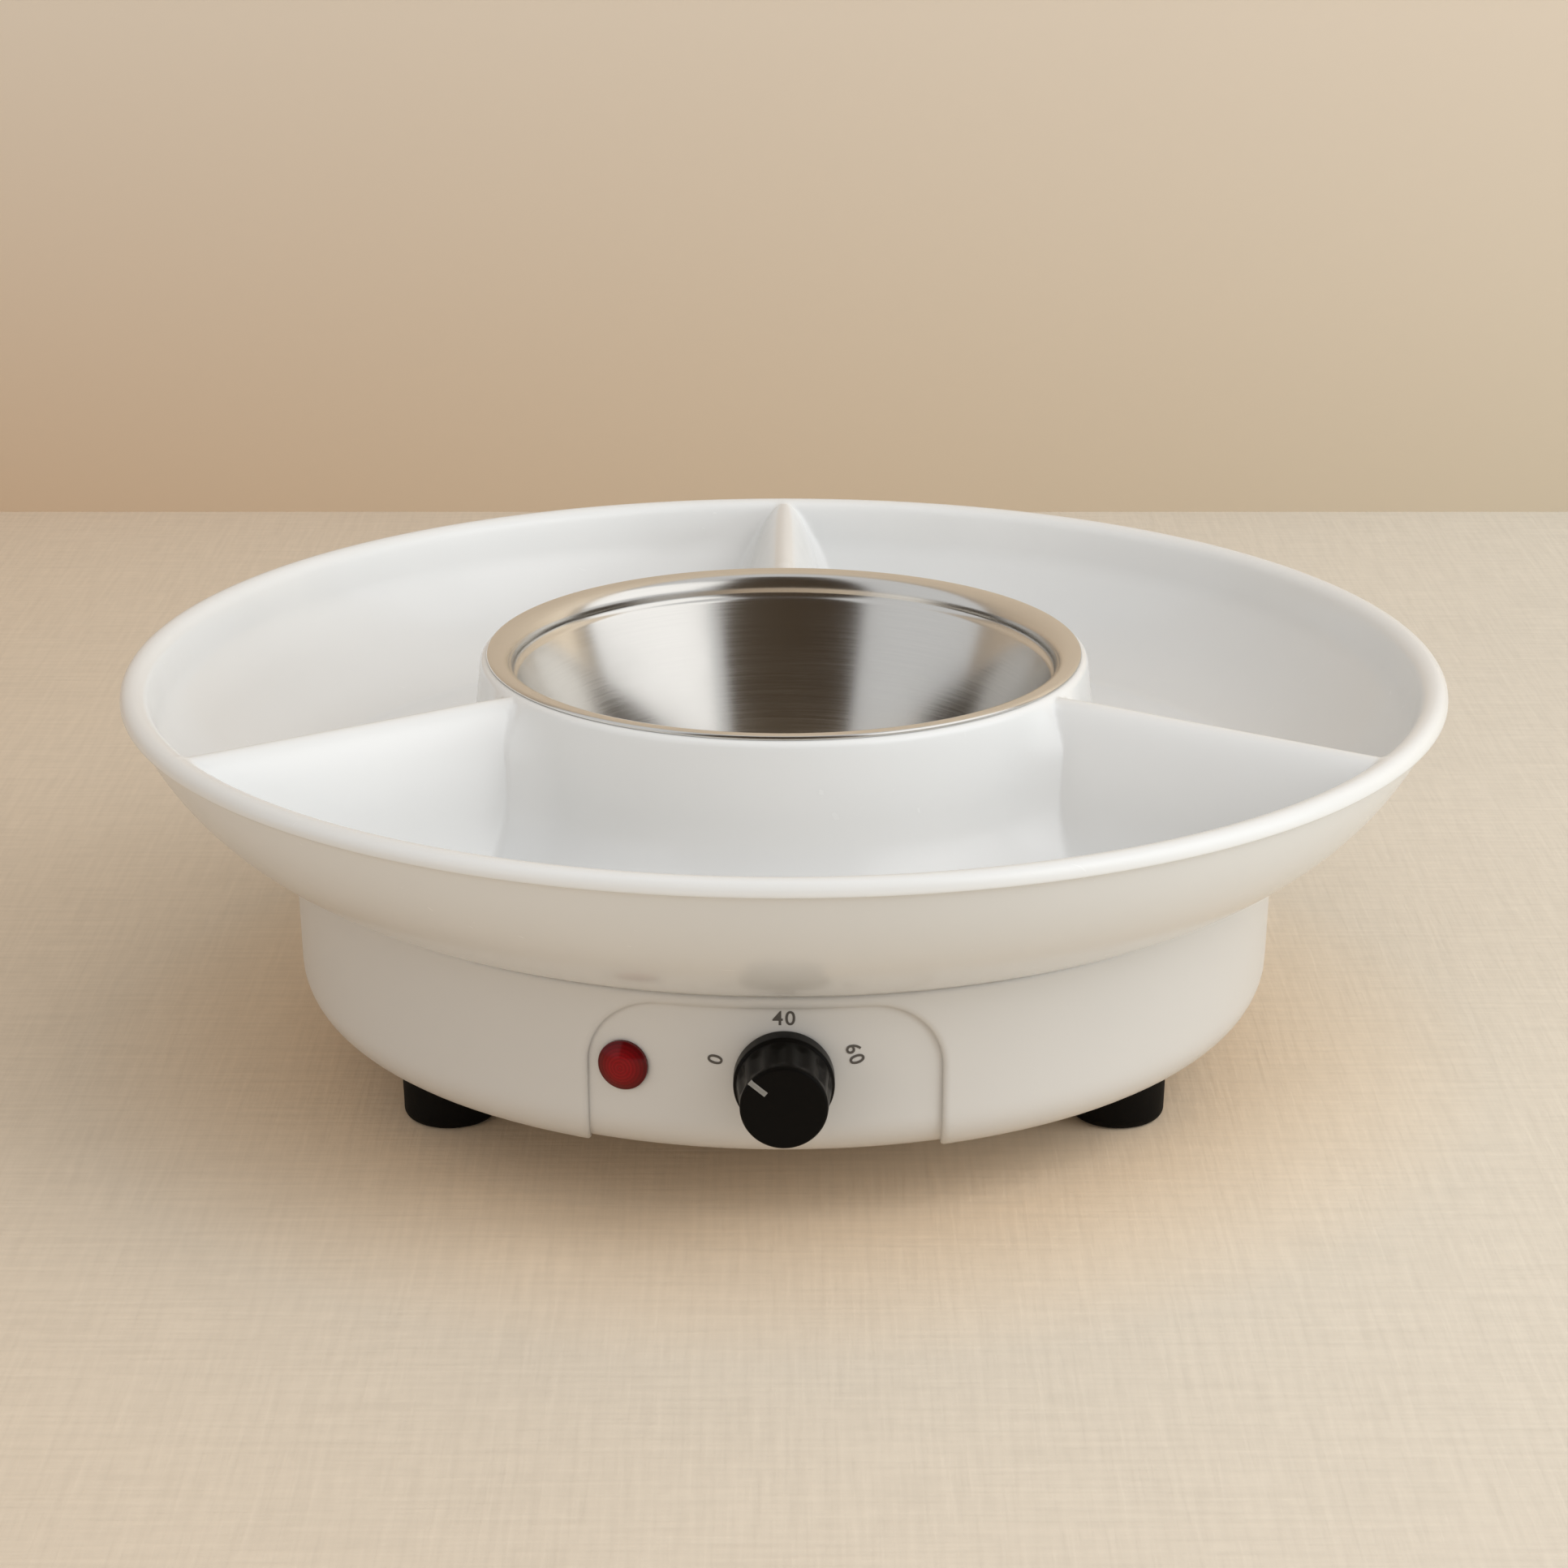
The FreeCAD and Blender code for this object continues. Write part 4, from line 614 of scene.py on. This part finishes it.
def shaping_tree(name, sizes):
    """An empty tree of geometry nodes with named sizes; what it shapes ends as real, painted mesh."""
    tree = bpy.data.node_groups.new(name, "GeometryNodeTree")
    tree.interface.new_socket("Geometry", in_out="INPUT", socket_type="NodeSocketGeometry")
    for label, value in sizes.items():
        socket = tree.interface.new_socket(label, in_out="INPUT", socket_type="NodeSocketFloat")
        socket.default_value = value
    tree.interface.new_socket("Material", in_out="INPUT", socket_type="NodeSocketMaterial")
    tree.interface.new_socket("Geometry", in_out="OUTPUT", socket_type="NodeSocketGeometry")
    return tree, tree.nodes.new("NodeGroupInput").outputs


def finish_shaping(tree, given, place):
    """Moves every point to its place, then realizes and paints the result."""
    moved = add_node(tree, "GeometryNodeSetPosition")
    feed(tree, moved.inputs["Geometry"], given["Geometry"])
    feed(tree, moved.inputs["Position"], place)
    real = add_node(tree, "GeometryNodeRealizeInstances")
    feed(tree, real.inputs["Geometry"], moved.outputs["Geometry"])
    painted = add_node(tree, "GeometryNodeSetMaterial")
    feed(tree, painted.inputs["Geometry"], real.outputs["Geometry"])
    feed(tree, painted.inputs["Material"], given["Material"])
    feed(tree, tree.nodes.new("NodeGroupOutput").inputs["Geometry"], painted.outputs["Geometry"])


def shape_piece(piece, tree, sizes, material):
    """Runs a tree on a piece with its own sizes and keeps the result as a plain mesh."""
    modifier = piece.modifiers.new(tree.name, "NODES")
    modifier.node_group = tree
    for socket in tree.interface.items_tree:
        if socket.in_out == "INPUT" and socket.name in sizes:
            modifier[socket.identifier] = float(sizes[socket.name])
        if socket.in_out == "INPUT" and socket.name == "Material":
            modifier[socket.identifier] = material
    bpy.context.view_layer.update()
    evaluated = piece.evaluated_get(bpy.context.evaluated_depsgraph_get())
    mesh = bpy.data.meshes.new_from_object(evaluated)
    piece.modifiers.clear()
    piece.data = mesh
    mesh.name = piece.name


def polar(tree, count, phase):
    """Position of a point from the nearest of evenly spaced spokes: how far out, across the spoke, and high."""
    parts = add_node(tree, "ShaderNodeSeparateXYZ")
    feed(tree, parts.inputs[0], add_node(tree, "GeometryNodeInputPosition").outputs[0])
    x, y, z = parts.outputs
    radius = math_node(tree, "SQRT", math_node(tree, "ADD", math_node(tree, "MULTIPLY", x, x),
                                               math_node(tree, "MULTIPLY", y, y)))
    angle = math_node(tree, "ARCTAN2", y, x)
    half = math_node(tree, "DIVIDE", math.pi, count)
    away = math_node(tree, "WRAP", math_node(tree, "SUBTRACT", angle, phase), half,
                     math_node(tree, "MULTIPLY", half, -1.0))
    across = math_node(tree, "ABSOLUTE", math_node(tree, "MULTIPLY", radius, math_node(tree, "SINE", away)))
    return (x, y, z), radius, across


def named_share(tree, name):
    """How much of a rule a point follows, from the attribute that its blank carries."""
    node = add_node(tree, "GeometryNodeInputNamedAttribute", data_type="FLOAT")
    node.inputs["Name"].default_value = name
    return node.outputs["Attribute"]


def roof(tree, top, across, width, slope):
    """Height of a ridge with straight sides and a crest rounded over a width."""
    near = math_node(tree, "MINIMUM", across, width)
    curve = math_node(tree, "DIVIDE", math_node(tree, "MULTIPLY", near, near), math_node(tree, "MULTIPLY", width, 2.0))
    fall = math_node(tree, "ADD", curve, math_node(tree, "SUBTRACT", across, near))
    return math_node(tree, "SUBTRACT", top, math_node(tree, "MULTIPLY", fall, slope))


def divider_tree():
    """Raises ridges across a round tray, blended into its floor and walls, and cores them from below."""
    tree, given = shaping_tree("tray dividers", {
        "Count": 3.0, "Phase": math.pi / 2, "Crest height": 0.094, "Crest rise": 0.0014, "Crest width": 0.005,
        "Side slope": 3.7, "Root blend": 0.014, "Crest blend": 0.001, "Core height": 0.09, "Core width": 0.0008,
        "Corner flare": 0.0045, "Corner run": 0.012})
    (x, y, z), radius, across = polar(tree, given["Count"], given["Phase"])
    inward = map_range(tree, radius, 0.074, 0.145, 1.0, 0.0)
    crest = math_node(tree, "ADD", given["Crest height"], math_node(tree, "MULTIPLY", inward, given["Crest rise"]))
    side = math_node(tree, "ADD", math_node(tree, "MULTIPLY", given["Crest width"], 0.5), math_node(
        tree, "DIVIDE", math_node(tree, "MAXIMUM", math_node(tree, "SUBTRACT", crest, z), 0.0), given["Side slope"]))
    beside = math_node(tree, "DIVIDE", math_node(tree, "SUBTRACT", across, side), given["Corner run"])
    near = map_range(tree, beside, 0.0, 1.0, 1.0, 0.0)
    flare = math_node(tree, "MULTIPLY", math_node(tree, "MULTIPLY", near, near),
                      math_node(tree, "MULTIPLY", given["Corner flare"], named_share(tree, "collar corner")))
    spread = math_node(tree, "ADD", 1.0, math_node(tree, "DIVIDE", flare, radius))
    x, y, across = (math_node(tree, "MULTIPLY", value, spread) for value in (x, y, across))
    ridge = roof(tree, crest, across, given["Crest width"], given["Side slope"])
    top = math_node(tree, "MAXIMUM", z, ridge)
    depth = math_node(tree, "MULTIPLY", math_node(tree, "SUBTRACT", crest, top), 0.75)
    blend = math_node(tree, "MINIMUM", math_node(tree, "MAXIMUM", depth, given["Crest blend"]), given["Root blend"])
    blend = math_node(tree, "MULTIPLY", blend, named_share(tree, "soft root"))
    gap = math_node(tree, "ABSOLUTE", math_node(tree, "SUBTRACT", z, ridge))
    close = math_node(tree, "MAXIMUM", math_node(tree, "SUBTRACT", blend, gap), 0.0)
    fillet = math_node(tree, "DIVIDE", math_node(tree, "MULTIPLY", close, close), math_node(tree, "MULTIPLY", blend, 4.0))
    raised = math_node(tree, "SUBTRACT", math_node(tree, "ADD", top, fillet), z)
    core = roof(tree, given["Core height"], across, given["Core width"], given["Side slope"])
    cored = math_node(tree, "MAXIMUM", math_node(tree, "SUBTRACT", core, z), 0.0)
    lift = math_node(tree, "ADD", math_node(tree, "MULTIPLY", raised, named_share(tree, "upper skin")),
                     math_node(tree, "MULTIPLY", cored, named_share(tree, "cored floor")))
    place = add_node(tree, "ShaderNodeCombineXYZ")
    for socket, source in zip(place.inputs, (x, y, math_node(tree, "ADD", z, lift))):
        feed(tree, socket, source)
    finish_shaping(tree, given, place.outputs[0])
    return tree


def crowded_angles():
    """Angles round the tray, closest together beside the dividers."""
    offsets = [12.0 * step / 44 for step in range(44)]
    for step in range(31):
        share = step / 30
        offsets.append(12.0 + 48.0 * (0.4 * share + 0.6 * share * share))
    angles = []
    for spoke in (90.0, 210.0, 330.0):
        angles += [math.radians(spoke - offset) for offset in reversed(offsets[1:])]
        angles += [math.radians(spoke + offset) for offset in offsets[:-1]]
    return angles


def add_serving_tray():
    """The tray: collar, floor, bowed wall and rim as one turned section, then its three dividers."""
    collar = [(65.0, 93.5, 0.0), (65.0, 96.1, 0.5), (69.2, 96.1, 1.6), (73.2, 61.0, 17.0)]
    wall = arc_corners((89.9, 114.64), 60.4, -62.6, -31.0, 12)
    wall[0] = (*wall[0][:2], 6.0)
    wall[-1] = (*wall[-1][:2], 14.0)
    rim = arc_corners((147.2, 90.9), 3.5, 166.0, 90.0, 6) + arc_corners((147.39, 91.8), 2.6, 86.0, 0.0, 6)
    rim += [(149.99, 91.0, 0.4), (148.5, 90.9, 0.3)]
    under = arc_corners((89.9, 114.64), 63.0, -22.4, -63.2, 16)
    under[-1] = (*under[-1][:2], 3.0)
    floor = [(115.9, 58.4, 0.0), (115.7, 58.4, 0.0), (97.8, 58.4, 0.0), (97.4, 58.4, 0.0)]
    skirt = [(97.4, 55.9, 0.3), (95.0, 55.9, 0.3), (95.0, 58.4, 0.0), (94.7, 58.4, 0.0), (89.0, 58.4, 0.0)]
    flare = arc_corners((88.6, 79.0), 20.6, -90.0, -180.0, 8)
    ledge = [(66.4, 93.5, 0.0), (65.0, 93.5, 0.0)]
    profile = rounded_profile(collar + wall + rim + under + floor + skirt + flare + ledge)
    crest = next(place for place, point in enumerate(profile) if point.x > 148.0)
    upper = [place < crest and point.x > 66.5 for place, point in enumerate(profile)]
    cored = [abs(point.y - 58.4) < 0.01 and (88.9 < point.x < 94.8 or 97.7 < point.x < 115.8) for point in profile]
    soft = [min(1.0, max(0.25, (point.x - 71.0) / 12.0)) for point in profile]
    corner = [upper[place] * min(1.0, max(0.0, (95.4 - point.y) / 9.0)) * min(1.0, max(0.0, (98.0 - point.x) / 22.0))
              for place, point in enumerate(profile)]
    marks = {"upper skin": upper, "cored floor": cored, "soft root": soft, "collar corner": corner}
    tray = turned_piece("shaped_tray", profile, crowded_angles(), marks)
    shape_piece(tray, divider_tree(), {
        "Count": 3, "Phase": math.pi / 2, "Crest height": 0.0938, "Crest rise": 0.0016, "Crest width": 0.0098,
        "Side slope": 1 / math.tan(math.radians(15.0)), "Root blend": 0.014, "Crest blend": 0.001,
        "Core height": 0.0903, "Core width": 0.0008, "Corner flare": 0.0044, "Corner run": 0.012},
        slot_materials["tray_white"])
    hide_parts("serving_tray")
    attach(tray, "tray")


def add_melting_bowl():
    """The bowl: tapered wall, small step, and a flange that bends over softly and is rounded at its edge."""
    inside = [(0.0, 42.0, 0.0), (43.0, 42.0, 10.0), (61.0, 90.9, 1.8), (62.0, 91.9, 1.8), (62.0, 97.1, 4.2)]
    flange = [(67.9, 97.1, 0.7), (67.9, 96.12, 0.25), (63.0, 96.12, 1.9)]
    outside = [(63.0, 91.9, 1.8), (62.07, 90.9, 1.8), (43.7, 41.0, 11.0), (0.0, 41.0, 0.0)]
    bowl = turned_piece("shaped_bowl", rounded_profile(inside + flange + outside, steps=10), even_angles(240))
    bowl.data.materials.append(slot_materials["bowl_steel"])
    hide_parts("melting_bowl")
    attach(bowl, "bowl")


def flute_tree():
    """Presses evenly spaced grooves into a knob's grip, running in and out softly along it."""
    tree, given = shaping_tree("knob flutes", {
        "Count": 12.0, "Phase": 0.12, "Depth": 0.0006, "Half width": 0.002, "Start": 0.0, "Stop": 0.01, "Run": 0.001})
    (x, y, z), radius, across = polar(tree, given["Count"], given["Phase"])
    share = math_node(tree, "MINIMUM", math_node(tree, "DIVIDE", across, given["Half width"]), 1.0)
    valley = math_node(tree, "SUBTRACT", 1.0, math_node(tree, "MULTIPLY", share, share))
    depth = math_node(tree, "MULTIPLY", math_node(tree, "MULTIPLY", valley, valley), given["Depth"])
    begun = map_range(tree, z, given["Start"], math_node(tree, "ADD", given["Start"], given["Run"]), 0.0, 1.0)
    ended = map_range(tree, z, math_node(tree, "SUBTRACT", given["Stop"], given["Run"]), given["Stop"], 1.0, 0.0)
    along = math_node(tree, "MULTIPLY", math_node(tree, "MULTIPLY", begun, ended), named_share(tree, "grip"))
    kept = math_node(tree, "SUBTRACT", 1.0, math_node(tree, "DIVIDE", math_node(tree, "MULTIPLY", depth, along), radius))
    place = add_node(tree, "ShaderNodeCombineXYZ")
    for socket, source in zip(place.inputs, (math_node(tree, "MULTIPLY", x, kept), math_node(tree, "MULTIPLY", y, kept), z)):
        feed(tree, socket, source)
    finish_shaping(tree, given, place.outputs[0])
    return tree


def add_control_knob():
    """The knob: skirt, tapered grip with its flutes, and the bore behind for the switch's shaft."""
    bore = [(0.0, 125.4, 0.0), (3.05, 125.4, 0.0), (3.05, 115.3, 0.0), (8.4, 115.3, 0.0), (8.4, 111.65, 0.0)]
    skirt = [(10.4, 111.65, 0.3), (10.4, 115.6, 0.8), (9.8, 116.1, 0.3)]
    grip = [(8.9, 127.45, 0.8), (0.0, 127.45, 0.0)]
    profile = rounded_profile(bore + skirt + grip, reach=0.6)
    marks = {"grip": [point.x > 8.5 and point.y > 116.0 for point in profile]}
    knob = turned_piece("shaped_knob", profile, even_angles(360), marks)
    shape_piece(knob, flute_tree(), {
        "Count": 12, "Phase": math.radians(7.0), "Depth": 0.0006, "Half width": 0.0022,
        "Start": 0.1164, "Stop": 0.1262, "Run": 0.0016}, slot_materials["knob_black"])
    knob.data.transform(Matrix(((1, 0, 0, 0), (0, 0, -1, 0), (0, 1, 0, control_height), (0, 0, 0, 1))))
    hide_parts("control_knob")
    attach(knob, "knob")


print_ink = plastic("print_ink", (0.085, 0.075, 0.065), 0.55, 2600.0, 0.00001, (0.12, 0.11, 0.1))


add_camera()
table = flat_sheet("table", [(-4, -4, 0), (4, -4, 0), (4, 4, 0), (-4, 4, 0)])
table.data.materials.append(table_material())
wall = flat_sheet("wall", [(-4, 0.502, 0), (4, 0.502, 0), (4, 0.502, 2.5), (-4, 0.502, 2.5)])
wall.data.materials.append(wall_material())
dress_nodes()
add_serving_tray()
add_melting_bowl()
add_control_knob()
dial_number("0", 166, 0.0144, 0.0044)
dial_number("40", 90, 0.0129, 0.0044)
dial_number("60", 18, 0.0152, 0.0044)
set_world((0.965, 0.975, 0.99), 0.70)
add_softbox("window", (1.75, -0.72, 1.48), (0, 0, 0.05), 2.6, 2.0, 9.0, (1.0, 0.99, 0.97))
add_softbox("key", (1.3, -0.75, 1.4), (0, 0, 0.05), 0.9, 0.9, 8.4, (0.99, 0.99, 1.0), in_metal=False)
add_softbox("front", (0.1, -1.35, 0.7), (0, 0, 0.05), 1.3, 0.7, 0.7, (1.0, 0.93, 0.84), in_metal=False)
add_softbox("low_left", (-0.95, -1.1, 0.4), (0, 0, 0.05), 1.0, 0.5, 2.8, (1.0, 0.87, 0.72), in_metal=False)
add_softbox("low_right", (1.45, -0.35, 0.35), (0, 0, 0.05), 1.0, 0.5, 7.4, (0.92, 0.975, 1.0), in_metal=False)
add_softbox("ceiling", (0.2, -0.6, 1.9), (0, 0, 0.05), 1.2, 1.2, 5.6, (0.98, 0.99, 1.0), in_metal=False)
add_dark_cards()
scene.view_settings.view_transform = "Standard"
